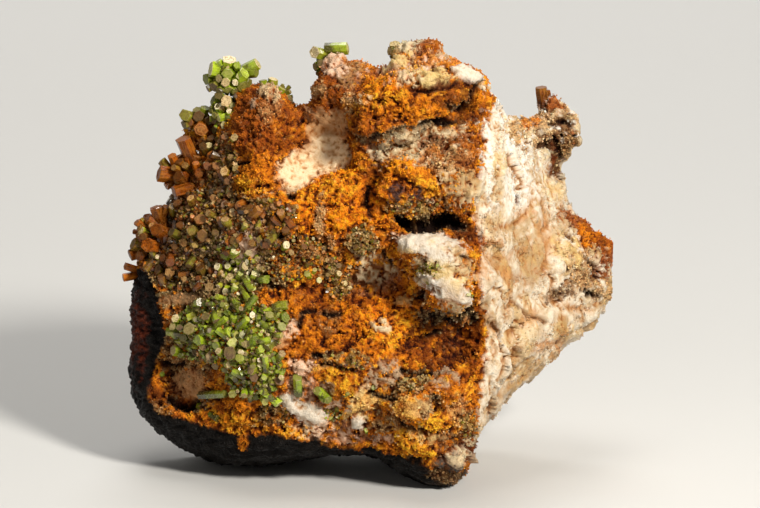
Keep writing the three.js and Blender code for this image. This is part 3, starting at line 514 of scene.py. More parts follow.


# Hollows cut into the rock, most filled with painted shade and some with stained creases: half
# width, depth, finish, strength and the points of a line in u and v.
CREVICES = [
    (0.8, 2.4, "dark", 0.95, [(1, 76.9), (4, 77), (6.5, 78.2), (11, 78.7), (13.8, 80.4), (17.3, 80.2)]),
    (0.7, 1.6, "dark", 0.8, [(17.3, 83.2), (19.6, 83.4), (21.5, 84.6), (22.6, 86.6), (23.6, 88.4)]),
    (0.6, 1.4, "dark_rust", 0.9, [(8.6, 86.9), (12.4, 86.6), (16.4, 87.4), (18.4, 88.4)]),
    (1.2, 2.4, "dark", 0.95, [(6.8, 59.2), (9.5, 57.6), (13, 57.4), (16.5, 58.6), (20.5, 57.6)]),
    (0.5, 1.0, "dark", 0.7, [(-0.5, 66.2), (-0.8, 62.5), (0.2, 59.5)]),
    (0.8, 1.4, "dark", 0.8, [(-3.6, 77.6), (-2.6, 77.4)]),
    (0.7, 2.2, "dark", 0.95, [(-17.7, 64.3), (-16.6, 64.0)]),
    (0.5, 1.2, "dark", 0.8, [(-29.5, 71.3), (-26.5, 71.6)]),
    (0.6, 1.4, "dark", 0.9, [(-10, 38.6), (-8.5, 38.3), (-6.4, 38.5)]),
    (0.6, 1.4, "dark", 0.8, [(-12, 39.2), (-14.6, 38.8), (-15.4, 35.8)]),
    (0.55, 1.4, "dark", 0.9, [(-12.4, 29.6), (-10.8, 29.3)]),
    (0.6, 1.3, "dark", 0.8, [(-10.4, 27.4), (-8, 27.6), (-5.8, 26.6)]),
    (0.7, 1.5, "dark", 0.85, [(7.2, 26.2), (10.5, 25.0), (14.5, 25.2)]),
    (0.75, 1.6, "dark", 0.9, [(0.4, 20.9), (3, 20.3), (5.2, 19.9)]),
    (0.8, 1.4, "dark", 0.8, [(13.4, 20.6), (14.8, 19.2)]),
    (0.45, 1.2, "dark", 0.85, [(6.2, 16.4), (7.0, 14.3), (9.2, 13.3), (12, 12.9)]),
    (0.5, 1.2, "dark", 0.9, [(8.4, 6.8), (10.8, 6.0)]),
    (0.7, 1.6, "dark", 0.9, [(-46, 27.2), (-43.6, 26.6), (-41, 27.2)]),
    (1.0, 2.0, "dark", 0.9, [(-44, 19.6), (-41, 18.2), (-38.4, 18.6)]),
    (0.9, 1.8, "dark", 0.95, [(-45.4, 62.4), (-44.6, 58.4), (-43.6, 55.6)]),
    (0.6, 1.4, "dark", 0.85, [(-36.8, 64.8), (-35.2, 66.8)]),
    (0.6, 1.2, "dark", 0.8, [(-20, 56.2), (-19, 55.0)]),
    (0.6, 1.3, "dark", 0.8, [(-24, 58.9), (-22, 58.9)]),
    (0.5, 1.0, "dark", 0.7, [(-13.0, 55.2), (-8.6, 52.4)]),
    (0.5, 1.2, "dark", 0.8, [(2.8, 51.2), (4.6, 49.4)]),
    (1.2, 2.2, "dark", 0.9, [(14, 37.8), (18, 37.2), (21.5, 39), (22.4, 37)]),
    (0.5, 1.0, "dark", 0.8, [(12.6, 33.6), (16, 34.4)]),
    (0.45, 1.0, "dark", 0.7, [(19.8, 51), (21.5, 50.6)]),
    (0.81, 0.56, "orange_stain", 0.75, [(24.6, 52.4), (27.6, 48.8), (30.2, 45.2), (31.4, 40.6)]),
    (1.0, 0.5, "stained", 0.7, [(31.4, 40.6), (31.0, 34), (32.2, 27.6), (30.4, 22.4), (26.4, 16.6)]),
    (0.81, 0.56, "orange_stain", 0.7, [(37.6, 63), (38.6, 58.4), (39.4, 53.4), (38.8, 47.6)]),
    (0.72, 0.42, "orange_stain", 0.6, [(28, 57.4), (31.4, 57.8), (34.6, 60.4), (35.6, 63.4)]),
    (0.9, 0.63, "orange_stain", 0.7, [(26.0, 38.2), (27.0, 35.6), (28.2, 33.6)]),
    (0.5, 0.9, "brown", 0.6, [(33, 40.2), (34.6, 37.6), (37.2, 37.4), (38.6, 36.4)]),
    (0.9, 0.56, "orange_stain", 0.7, [(40.6, 41.2), (44.2, 39.6), (48.4, 39.2)]),
    (1.0, 0.5, "stained", 0.6, [(32, 58), (33, 51.6), (34.8, 47.4)]),
    (1.0, 0.5, "yellow_stain", 0.6, [(27.8, 79), (28.8, 72), (27.6, 64)]),
    (0.35, 0.6, "dark_rust", 0.9, [(32.1, 64.1), (32.4, 62.8)]),
    (0.6, 1.4, "dark", 0.9, [(48, 42.8), (50.2, 42.5)]),
    (0.6, 1.2, "dark", 0.8, [(48.8, 49.6), (50.2, 48.2), (49.4, 46.2)]),
    (0.5, 1.0, "dark", 0.8, [(43.4, 55.8), (45, 54.6)]),
    (0.72, 0.49, "orange_stain", 0.7, [(36.6, 31.6), (39, 31.8), (42.4, 31.6)]),
    (0.7, 1.5, "dark", 0.9, [(40.2, 80.4), (43.2, 81), (45.6, 80.2)]),
    (0.8, 1.8, "dark", 0.9, [(37.4, 75.6), (39.4, 75.8)]),
    (0.8, 1.4, "dark", 0.9, [(41, 77), (42.6, 73), (41.4, 70)]),
    (0.5, 1.2, "dark", 0.9, [(37.2, 86.2), (38.6, 84.8)]),
]

# Lumps and shelves of the front: u, v, half sizes, turn, rise and whether the lower edge is sharp
LUMPS_OF_ROCK = [
    (8.5, 91, 5, 2.4, 5, 0.9, 1), (13.6, 88.9, 4.2, 1.7, 5, 1.3, 1), (20.9, 90.6, 3.6, 1.8, -22, 1.2, 1),
    (9.5, 96.6, 3.4, 2.2, 5, 0.7, 0), (13.2, 96.5, 2.4, 2.2, 0, 0.9, 0), (3, 83.4, 6, 3.4, 6, 1.0, 0),
    (11, 82.6, 5, 2.4, 10, 1.0, 1), (22.6, 78.6, 3.0, 2.6, 0, 0.9, 0), (10.5, 75.6, 7.5, 2.8, 8, 1.2, 0),
    (17, 77.6, 4, 1.6, 0, 0.8, 1), (20.8, 74.6, 3.6, 2.8, 0, 1.0, 1), (10.5, 68.6, 5.2, 2.2, -20, 1.2, 1),
    (8.4, 62.4, 5.4, 2.6, 0, 1.2, 1), (12.6, 53.4, 8.4, 3.4, -9, 1.0, 0),
    (14.4, 51.0, 5.4, 1.8, -16, 1.1, 0),
    (14.4, 48.6, 4.6, 2.2, 0, 1.2, 1),
    (17.2, 43.2, 4.6, 4.2, -5, 1.8, 1), (20, 48, 2.6, 2.4, 0, 0.8, 0), (11.4, 42.6, 2, 2.2, 0, -1.8, 0),
    (1, 47, 5, 4, 0, -1.0, 0), (2.8, 36, 2, 1.8, 0, 1.1, 0), (18.5, 33.5, 5.5, 5, 0, -1.6, 0),
    (9.4, 18.8, 4.6, 3.2, 25, 1.8, 1), (9.2, 23, 3.8, 1.7, 10, 1.2, 1), (4.6, 25, 4.6, 3, 0, 0.8, 0),
    (16.6, 24.4, 3.2, 2, 0, 0.6, 0), (10, 10.6, 6, 2.2, -28, 1.2, 1), (18.8, 7, 2.4, 2.6, 20, 1.2, 1),
    (3, 14.6, 4.6, 2, 0, 0.7, 0), (14.8, 15.4, 4.6, 2.4, 0, 0.9, 1), (-2.5, 18.6, 4.4, 3, 0, 1.0, 0),
    (-2.8, 14.6, 1.6, 1.7, 0, 1.0, 0), (-5.4, 23.6, 5, 2.6, -25, 1.2, 1),
    (-5.2, 28.6, 4.8, 1.8, -5, 1.0, 1),
    (-17.4, 18.6, 3.2, 1.5, -42, 1.0, 0), (-13.2, 16.2, 3.4, 1.8, -15, 1.0, 0),
    (-7.8, 18.2, 2.4, 1.4, 0, 0.6, 0),
    (-18.4, 34.6, 3, 2.4, 0, 0.9, 1), (-14, 27.2, 3.8, 1.6, 0, 0.7, 0), (-10, 33.4, 5, 3.2, 10, 1.0, 1),
    (-3, 36.6, 5.6, 3.6, 0, 1.0, 1), (-21.2, 40.8, 4.6, 2.6, -10, 1.0, 0), (-17.2, 37.6, 2.2, 4, 0, 0.6, 0),
    (-19.4, 48, 4, 3, 0, 1.6, 1), (-12.8, 47, 3.2, 2.4, -10, 1.3, 1), (-6.6, 45.8, 2.4, 5.2, 25, 1.6, 0),
    (-1.6, 54.6, 3.8, 3.2, 0, 1.2, 1), (-17.4, 57.6, 3.8, 3, 0, 1.2, 1), (-25, 60, 5, 2.6, 0, 0.9, 0),
    (-7, 66, 8, 3.4, 12, 1.0, 0), (-7, 59, 7, 4, 8, 1.0, 0), (-15, 52.6, 4, 2, 0, 0.8, 1),
    (-24.6, 68.8, 5.4, 2.4, 0, 0.8, 1), (-25, 64.6, 4.6, 1.8, 0, 0.7, 1), (-16, 78.4, 3.0, 2.2, 30, 1.0, 1),
    (-15.5, 82.4, 4, 1.6, 15, 0.8, 1), (-22, 86.8, 2.6, 2.2, 20, 0.9, 0), (-25, 77, 4.6, 5, 0, 0.8, 0),
    (-1.4, 79.4, 3.4, 4, 0, 0.9, 0), (-1, 85, 2.6, 1.6, 0, 0.9, 0), (-7.6, 93, 2.6, 3, 0, 0.9, 0),
    (-10.8, 87.2, 2, 1.8, 0, 0.8, 0), (-3.6, 91, 4, 3, 0, 0.6, 0), (2.6, 88.6, 4, 3, 0, 0.6, 0),
    (-29, 15.6, 6, 3.6, 0, 0.6, 0), (-20.4, 14.4, 6, 2.4, -10, 0.9, 1), (-40.6, 23, 4.6, 3.8, 0, 0.5, 0),
    (-47, 24, 2, 3.4, -25, 0.8, 0), (43.8, 50, 3.6, 5, 0, 1.0, 0), (52.2, 53, 3, 4.4, 5, 1.0, 0),
    (46.4, 57.4, 3.8, 2.2, -35, 1.0, 0), (51.6, 43.2, 2.6, 2.6, 0, 1.3, 0),
    (46.6, 37.6, 6, 2.4, 30, 0.9, 1),
    (41.4, 66, 2.2, 3.6, 20, 0.8, 0), (31.6, 78.4, 2.4, 3, 0, 0.8, 0), (35, 71, 3.6, 8, -10, 0.6, 0),
    (28, 70, 2.2, 8, 4, 0.5, 0), (27.6, 43.4, 3, 5, 10, 0.7, 0), (35, 45, 4, 3.6, 0, 0.7, 0),
    (29, 27, 2.4, 6.4, -12, 0.8, 0), (35.6, 35.8, 3, 3, 20, 0.6, 0), (34, 26, 4, 3.4, 25, -0.6, 0),
    (36.6, 80.2, 3, 1.8, 25, 0.7, 0), (41, 84.6, 2.8, 1.8, -20, 0.8, 0), (44.2, 82, 2.2, 1.4, 0, 0.8, 0),
    (44.6, 77.6, 2.2, 2, 0, 1.0, 0), (38.6, 79, 3.2, 1.6, 10, 0.7, 0), (38.8, 73.4, 1.6, 3.2, 0, 0.7, 0),
]


def in_ellipse(place, u, v, half_u, half_v, turn):
    # Place across and along a turned ellipse, 1 at its edge.
    cos, sin = math.cos(math.radians(turn)), math.sin(math.radians(turn))
    from_u, from_v = place[:, 0] - u, place[:, 1] - v
    return (from_u * cos + from_v * sin) / half_u, (from_v * cos - from_u * sin) / half_v


def from_line(place, points):
    # Distance from a line of straight runs in u and v.
    nearest = np.full(len(place), 1e9)
    for (u0, v0), (u1, v1) in zip(points, points[1:]):
        run = np.array([u1 - u0, v1 - v0], float)
        aside = place[:, :2] - (u0, v0)
        share = np.clip(aside @ run / (run @ run), 0, 1)
        nearest = np.minimum(nearest, np.hypot(*(aside - share[:, None] * run).T))
    return nearest


FACET_STRETCH = (0.75, 1.5, 1)


def slanted(place):
    # The grain of the quartz runs down and to the right.
    return place + np.column_stack((0.25 * place[:, 1], 0 * place[:, 1], 0 * place[:, 1]))


def ragged_edge(place):
    return 0.26 * waves(place, 4.2, 1, 3) + 0.30 * waves(place, 1.2, 2, 4)


def large_facets(place, ragged):
    return cells(slanted(place) + 2.2 * ragged[:, None], 9.0, 16, FACET_STRETCH)


def small_facets(place, ragged):
    return cells(slanted(place) + 0.6 * ragged[:, None], 3.8, 17, FACET_STRETCH)


def tilted(found, limit):
    # A tilted plane for each cell: its values, and how far each point stands out by its tilt.
    heart, way = found[2:]
    planes = random_planes(heart)
    return planes, np.clip((way * planes).sum(1), -limit, limit)


def paint(place, facing, ragged):
    # Colour and kind of every point of the rock, from its place in the face frame.
    u = place[:, 0]
    v = place[:, 1]
    w = place[:, 2]
    tint = np.tile(np.array(FINISHES["ochre"][0]), (len(place), 1))
    kind = np.zeros((len(place), len(KINDS)))
    kind[:, 0] = 1

    def cover(finish, mask):
        colour, of_kind = FINISHES[finish]
        share = mask[:, None]
        pure = np.zeros(len(KINDS))
        pure[KINDS.index(of_kind)] = 1
        tint[:] = tint * (1 - share) + np.array(colour) * share
        kind[:] = kind * (1 - share) + pure * share

    mottle = waves(place, 2.6, 3, 4)
    cover("rust", 0.75 * smoothstep(0.05, 0.4, mottle))
    cover("yellow_ochre", 0.7 * smoothstep(0.10, 0.4, -mottle))
    edge = np.interp(v, FLANK_EDGE_V, FLANK_EDGE_U) + 2.4 * ragged
    on_flank = smoothstep(-0.3, 0.3, u - edge)
    cover("quartz", on_flank)
    streaks = waves(slanted(place), 2.4, 4, 4, (1, 2.4, 1.5))
    cover("cream", on_flank * 0.6 * smoothstep(0.05, 0.4, streaks))
    pale = random_planes(small_facets(place, ragged)[2])[:, 1]
    zones = waves(slanted(place), 12, 26, 3, (0.8, 1.5, 1))
    cover("stained", on_flank * 0.7 * smoothstep(0.0, 0.35, zones + 0.3 * streaks))
    cover("quartz", on_flank * 0.85 * smoothstep(0.1, 0.4, pale - 0.4 * zones))
    cover("yellow_stain", on_flank * 0.5 * smoothstep(-0.4, -0.7, pale - 0.4 * zones))
    edge = large_facets(place, ragged)[1]
    joints = smoothstep(0.07, 0.02, edge + 0.10 * mottle) * smoothstep(-0.1, 0.25, zones)
    cover("orange_stain", on_flank * 0.75 * joints)
    lower_flank = smoothstep(66, 50, v)
    cover("stained", on_flank * lower_flank * 0.5 * smoothstep(0.0, 0.35, mottle))
    # the flank is made darker and warmer from v 80 down to v 64
    flank_darker_below = (on_flank * smoothstep(80, 64, v))[:, None]
    tint *= 1 - flank_darker_below * (0.08, 0.15, 0.25)
    specks = smoothstep(-0.42, -0.2, waves(place, 1.7, 24, 3))
    for finish, at_u, at_v, half_u, half_v, turn, strength in PATCHES:
        across, along = in_ellipse(place, at_u, at_v, half_u, half_v, turn)
        if FINISHES[finish][1] == "smooth":
            mask = smoothstep(1.15, 0.85, np.hypot(across, along) + 0.7 * ragged)
        else:
            mask = smoothstep(1.12, 0.86, np.hypot(across, along) + 1.6 * ragged)
            mask *= 1 - (1 - specks) * (strength < 1)
        cover(finish, strength * mask)
    # each crevice line takes its finish: painted shade for most, stains for some
    for half_width, depth, finish, strength, points in CREVICES:
        away = from_line(place, points) / half_width + 0.8 * ragged
        cover(finish, strength * smoothstep(1.4, 0.7, away) * (1 - 0.5 * on_flank))
    rind = np.maximum(
        smoothstep(0.3, -0.3, u - np.interp(v, RIND_SIDE_V, RIND_SIDE_U) + 1.6 * ragged),
        smoothstep(0.25, -0.25, v - np.interp(u, RIND_UNDER_U, RIND_UNDER_V) + 1.6 * ragged),
    )
    cover("goethite", rind)
    toe = np.hypot((u - 17) / 4, (v - 3) / 2.6) + 1.6 * ragged
    cover("brown", rind * 0.6 * smoothstep(1.2, 0.6, toe))
    side_band = np.hypot((u + 51.4) / 2.2, (v - 33) / 8) + 1.6 * ragged
    cover("oxblood", rind * 0.85 * smoothstep(1.2, 0.7, side_band))
    drip = np.hypot((u + 27.8) / 1.1, (v - 10) / 1.8) + ragged
    cover("ochre", 0.9 * smoothstep(1.2, 0.8, drip))

    # the back: quartz on the right, rusty earth in the middle and goethite on the left and below
    front_tint, front_kind = tint.copy(), kind.copy()
    cover("brown", np.ones(len(place)))
    patchy = waves(place, 13, 5, 4)
    cover("rust", 0.8 * smoothstep(-0.1, 0.4, patchy))
    cover("ochre", 0.7 * smoothstep(0.15, 0.5, mottle))
    vein = smoothstep(-6, 6, u - 8 + 22 * waves(place, 24, 6, 3))
    cover("cream", vein)
    cover("quartz", vein * 0.8 * smoothstep(-0.2, 0.3, streaks))
    cover("stained", vein * 0.8 * smoothstep(0.0, 0.5, mottle + 0.4 * patchy))
    under = smoothstep(3, -3, v - 20 + 9 * waves(place, 15, 7, 3))
    side = smoothstep(3, -3, u + 36 + 8 * waves(place, 15, 8, 3))
    cover("goethite", np.maximum(under * smoothstep(26, 16, u), side))
    front = np.maximum(smoothstep(-0.3, 0.12, facing), smoothstep(-3, 2, w))[:, None]
    tint = front_tint * front + tint * (1 - front)
    kind = front_kind * front + kind * (1 - front)
    return tint, kind, front[:, 0], on_flank


def dust_and_painted_relief_light(tint, kind, relief, on_flank, place):
    # Ochre dust settles in the hollows of the pale rock. On the crusts, proud grains get a painted highlight
    # and hollows painted shade.
    ochre, quartz, goethite, earth, smooth = kind.T
    fine = waves(place, 0.9, 31, 3)
    low = smoothstep(0.42, 0.16, relief + 0.16 * fine)
    high = smoothstep(0.56, 0.85, relief + 0.12 * fine)
    clean = quartz + 0.6 * smooth

    def blend(colour, mask):
        tint[:] = tint * (1 - mask[:, None]) + np.array(colour) * mask[:, None]

    blend((0.42, 0.16, 0.03), 0.9 * clean * (1 - on_flank) * low)
    blend((0.46, 0.24, 0.08), 0.75 * clean * on_flank * low)
    # painted highlight: proud ochre grains are lightened
    share = (0.6 * ochre * high)[:, None]
    tint[:] = tint * (1 - share) + np.minimum(0.92, tint * (1.5, 1.8, 2.0)) * share
    # painted shade: ochre hollows are darkened
    blend((0.13, 0.028, 0.003), 0.75 * ochre * low)
    # painted highlight on proud earth, then painted shade in its hollows
    blend((0.50, 0.34, 0.15), 0.5 * earth * high)
    blend((0.05, 0.025, 0.008), 0.8 * earth * low)
    flecks = smoothstep(0.42, 0.6, waves(place, 0.8, 32, 2))
    blend((0.66, 0.46, 0.24), 0.6 * flecks * (ochre * 0.3 + earth))
    return tint


# The rock's voxels in millimetres. The crusts under the two druses stand out: u, v and half sizes of
# each, and the rise.
VOXEL = 0.72
DRUSES = [(-29.6, 34.6, 12, 14), (-33, 57, 11, 6.5)]
CRUST_RISE = 0.9
GRAIN_TOP = 0.42


def applied(piece, kind, **settings):
    only(piece)
    modifier = piece.modifiers.new(kind.lower(), kind)
    for name, value in settings.items():
        setattr(modifier, name, value)
    bpy.ops.object.modifier_apply(modifier=modifier.name)


def values_of(items, field, width, kind=float):
    flat = np.empty(width * len(items), kind)
    items.foreach_get(field, flat)
    return flat.reshape(-1, width)


def points_of(mesh):
    return values_of(mesh.vertices, "co", 3)


def normals_of(mesh):
    return values_of(mesh.vertex_normals, "vector", 3)


def rough_rock():
    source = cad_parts["matrix"]
    rock = bpy.data.objects.new("rock", source.data.copy())
    bpy.context.scene.collection.objects.link(rock)
    rock.data.materials.clear()
    only(rock)
    bpy.ops.object.mode_set(mode="EDIT")
    bpy.ops.mesh.select_all(action="SELECT")
    bpy.ops.mesh.remove_doubles(threshold=1e-6)
    bpy.ops.object.mode_set(mode="OBJECT")
    applied(rock, "REMESH", mode="VOXEL", voxel_size=VOXEL * MM)
    applied(rock, "SMOOTH", factor=0.5, iterations=3)
    # the front is made twice as fine as the back
    facing = values_of(rock.data.polygons, "normal", 3) @ TOWARDS_VIEWER
    only(rock)
    bpy.ops.object.mode_set(mode="EDIT")
    bpy.ops.mesh.select_all(action="DESELECT")
    bpy.ops.object.mode_set(mode="OBJECT")
    rock.data.polygons.foreach_set("select", facing > -0.02)
    bpy.ops.object.mode_set(mode="EDIT")
    bpy.ops.mesh.select_mode(type="FACE")
    bpy.ops.mesh.subdivide(number_cuts=1)
    bpy.ops.object.mode_set(mode="OBJECT")
    applied(rock, "SMOOTH", factor=0.5, iterations=2)
    return rock


def neighbours_mean(values, edges, rounds):
    a, b = edges.T
    count = np.bincount(edges.ravel(), minlength=len(values))
    for _ in range(rounds):
        values = np.column_stack(
            [
                (np.bincount(a, column[b], len(column)) + np.bincount(b, column[a], len(column))) / count
                for column in values.T
            ]
        )
    return values


def carve(place, kind, front, ragged, on_flank):
    # How far each point stands out from the plain surface, in millimetres.
    ochre, quartz, goethite, earth, smooth = kind.T
    crumbly = ochre + earth
    planes, tilt = tilted(cells(place, 7.5, 10, (1, 0.8, 1)), 0.8)
    blocks = 1.5 * tilt + 0.5 * planes[:, 2]
    lumps = 0.9 * waves(place, 5.0, 11, 4)
    clumps = 0.9 * (GRAIN_TOP - cells(place, 2.6, 12)[0])
    crumbs = 0.5 * (GRAIN_TOP - cells(place, 1.1, 13)[0])
    pits = -0.6 * smoothstep(0.34, 0.62, waves(place, 2.2, 14, 3))
    fine = waves(place, 0.75, 15, 2)
    grit = waves(place, 1.5, 23, 4)
    rise = crumbly * (0.5 * blocks + lumps + 0.2 * clumps + 0.35 * crumbs + pits + 0.25 * fine + 0.5 * grit)
    planes, tilt = tilted(large_facets(place, ragged), 0.7)
    facets = 2.2 * tilt + 0.3 * planes[:, 0]
    planes, tilt = tilted(small_facets(place, ragged), 0.6)
    facets += 0.8 * tilt + 0.15 * planes[:, 0]
    streaks = 0.22 * waves(slanted(place), 2.4, 18, 4, (1, 1.8, 1.5))
    sugary = smoothstep(0.0, 0.35, waves(place, 7.0, 19, 2))
    broken = 0.7 * lumps + 1.3 * clumps + 0.5 * grit + 0.4 * crumbs
    rise += quartz * (0.7 * facets + streaks + 0.12 * fine + sugary * (0.5 * crumbs + 0.2 * fine))
    rise += quartz * front * (1 - on_flank) * broken
    ribs = 0.7 * waves(place, 1.3, 20, 4, (3.5, 1, 2))
    knobs = GRAIN_TOP - cells(place, 2.4, 21)[0]
    rise += goethite * (0.4 * blocks + ribs + 0.3 * knobs + 0.3 * lumps + 0.15 * fine)
    rise += smooth * (0.45 * lumps + 0.32 * waves(place, 1.4, 22, 3) + 0.10 * fine)
    for at_u, at_v, half_u, half_v in DRUSES:
        away = np.hypot((place[:, 0] - at_u) / half_u, (place[:, 1] - at_v) / half_v)
        rise += front * CRUST_RISE * (1 - np.minimum(1, away) ** 3)
    for at_u, at_v, half_u, half_v, turn, height, sharp in LUMPS_OF_ROCK:
        across, along = in_ellipse(place, at_u, at_v, half_u, half_v, turn)
        away = np.hypot(across, along) + 0.8 * ragged
        dome = smoothstep(1.1, 0.1, away)
        if sharp:
            dome = np.where(along < 0, smoothstep(1.05, 0.75, away), dome)
        rise += front * height * dome
    for half_width, depth, finish, strength, points in CREVICES:
        away = from_line(place, points) / half_width + 0.7 * ragged
        rise -= front * depth * np.exp(-np.maximum(0, away) ** 2)
    return rise


def set_attribute(mesh, name, kind, values, domain="POINT"):
    layer = mesh.attributes.new(name, kind, domain)
    field = {"FLOAT": "value", "FLOAT_COLOR": "color", "FLOAT_VECTOR": "vector"}[kind]
    layer.data.foreach_set(field, np.ascontiguousarray(values, np.float32).ravel())


def in_box(points):
    low, high = (np.array(corner) for corner in cad_box)
    return np.clip(points, low, high)


def new_piece(name, points, faces):
    mesh = bpy.data.meshes.new(name)
    mesh.from_pydata(in_box(points).tolist(), [], faces)
    piece = bpy.data.objects.new(name, mesh)
    bpy.context.scene.collection.objects.link(piece)
    return piece


def with_alpha(colours):
    return np.column_stack((colours, np.ones(len(colours))))


def finish_piece(piece, material, slot, *replaced):
    piece.data.materials.clear()
    piece.data.materials.append(material)
    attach(piece, "root")
    if replaced:
        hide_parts(*replaced)


def hollowness(points, normals, edges):
    # 0 in the deepest clefts, about a half on plain ground and 1 on the sharpest grains.
    near = ((points - neighbours_mean(points, edges, 4)) * normals).sum(1) / MM
    broad = ((points - neighbours_mean(points, edges, 30)) * normals).sum(1) / MM
    return np.clip(0.5 + 1.1 * near + 0.42 * broad, 0, 1)


def read_attribute(mesh, name, width):
    field = {1: "value", 4: "color"}[width]
    return values_of(mesh.attributes[name].data, field, width, np.float32).astype(float)


MOST_TRIANGLES = 196000


def make_rock():
    rock = rough_rock()
    mesh = rock.data
    points, normals = points_of(mesh), normals_of(mesh)
    place = to_face(points)
    ragged = ragged_edge(place)
    tint, kind, front, on_flank = paint(place, normals @ TOWARDS_VIEWER, ragged)
    rise = carve(place, kind, front, ragged, on_flank)
    near_floor = smoothstep(0.2, 2.5, points[:, 2] / MM)
    rise = np.where(rise > 0, rise * near_floor, rise)
    points = in_box(points + normals * (rise * MM)[:, None])
    mesh.vertices.foreach_set("co", points.ravel())
    mesh.update()
    relief = hollowness(points, normals_of(mesh), values_of(mesh.edges, "vertices", 2, np.int32))
    tint = dust_and_painted_relief_light(tint, kind, relief, on_flank, place)
    set_attribute(mesh, "tint", "FLOAT_COLOR", with_alpha(tint))
    for column, name in enumerate(KINDS):
        set_attribute(mesh, name, "FLOAT", kind[:, column])
    set_attribute(mesh, "relief", "FLOAT", relief)
    set_attribute(mesh, "front", "FLOAT", front)
    mesh.calc_loop_triangles()
    applied(rock, "DECIMATE", ratio=MOST_TRIANGLES / len(mesh.loop_triangles))
    rock.data.shade_smooth()
    return rock


# Materials


def mix(tree, share, a, b, blend="MIX"):
    made = put(
        tree, "Mix", {0: share, 6: a, 7: b}, data_type="RGBA", blend_type=blend, clamp_result=True
    )
    return made.outputs[2]


def ramp(tree, value, *stops):
    made = put(tree, "ValToRGB", {"Fac": value})
    elements = made.color_ramp.elements
    while len(elements) < len(stops):
        elements.new(0.5)
    for element, (place, colour) in zip(elements, stops):
        element.position = place
        element.color = (*colour, 1)
    return made.outputs["Color"]


def work(tree, operation, a, b, clamp=False):
    made = put(tree, "Math", {0: a, 1: b}, operation=operation, use_clamp=clamp)
    return made.outputs[0]


def fade(tree, value, low, high, to_low=0.0, to_high=1.0):
    made = put(
        tree,
        "MapRange",
        {"Value": value, "From Min": low, "From Max": high, "To Min": to_low, "To Max": to_high},
    )
    return made.outputs["Result"]


def worn(tree, name, output="Fac"):
    return put(tree, "Attribute", attribute_name=name).outputs[output]


def object_place(tree):
    return put(tree, "TexCoord").outputs["Object"]


def make_group(name, inputs, outputs):
    tree = bpy.data.node_groups.new(name, "ShaderNodeTree")
    for label, kind in inputs:
        tree.interface.new_socket(label, in_out="INPUT", socket_type="NodeSocket" + kind)
    for label, kind in outputs:
        tree.interface.new_socket(label, in_out="OUTPUT", socket_type="NodeSocket" + kind)
    given = tree.nodes.new("NodeGroupInput").outputs
    taken = tree.nodes.new("NodeGroupOutput").inputs
    return tree, given, taken


def grain_group():
    # Mineral grain: a cloudy mottle, crumbs with a value each, and their height.
    tree, given, taken = make_group(
        "mineral grain",
        [("Place", "Vector"), ("Grains per Metre", "Float")],
        [("Mottle", "Float"), ("Crumb", "Float"), ("Height", "Float")],
    )
    place, scale = given["Place"], given["Grains per Metre"]
    cloud = put(tree, "TexNoise", {"Vector": place, "Scale": scale, "Detail": 5.0, "Roughness": 0.62})
    crumb = put(tree, "TexVoronoi", {"Vector": place, "Scale": scale})
    value = put(tree, "SeparateColor", {"Color": crumb.outputs["Color"]}).outputs["Red"]
    hollow = work(tree, "MULTIPLY", crumb.outputs["Distance"], 0.6)
    height = work(tree, "SUBTRACT", cloud.outputs["Fac"], hollow)
    tree.links.new(cloud.outputs["Fac"], taken["Mottle"])
    tree.links.new(value, taken["Crumb"])
    tree.links.new(height, taken["Height"])
    return tree


GRAIN = grain_group()


def grain(tree, place, scale):
    made = put(tree, "Group", node_tree=GRAIN)
    tree.links.new(place, made.inputs["Place"])
    made.inputs["Grains per Metre"].default_value = scale
    return made.outputs


def bump(tree, height, strength, distance):
    made = put(tree, "Bump", {"Height": height, "Strength": strength, "Distance": distance})
    return made.outputs["Normal"]


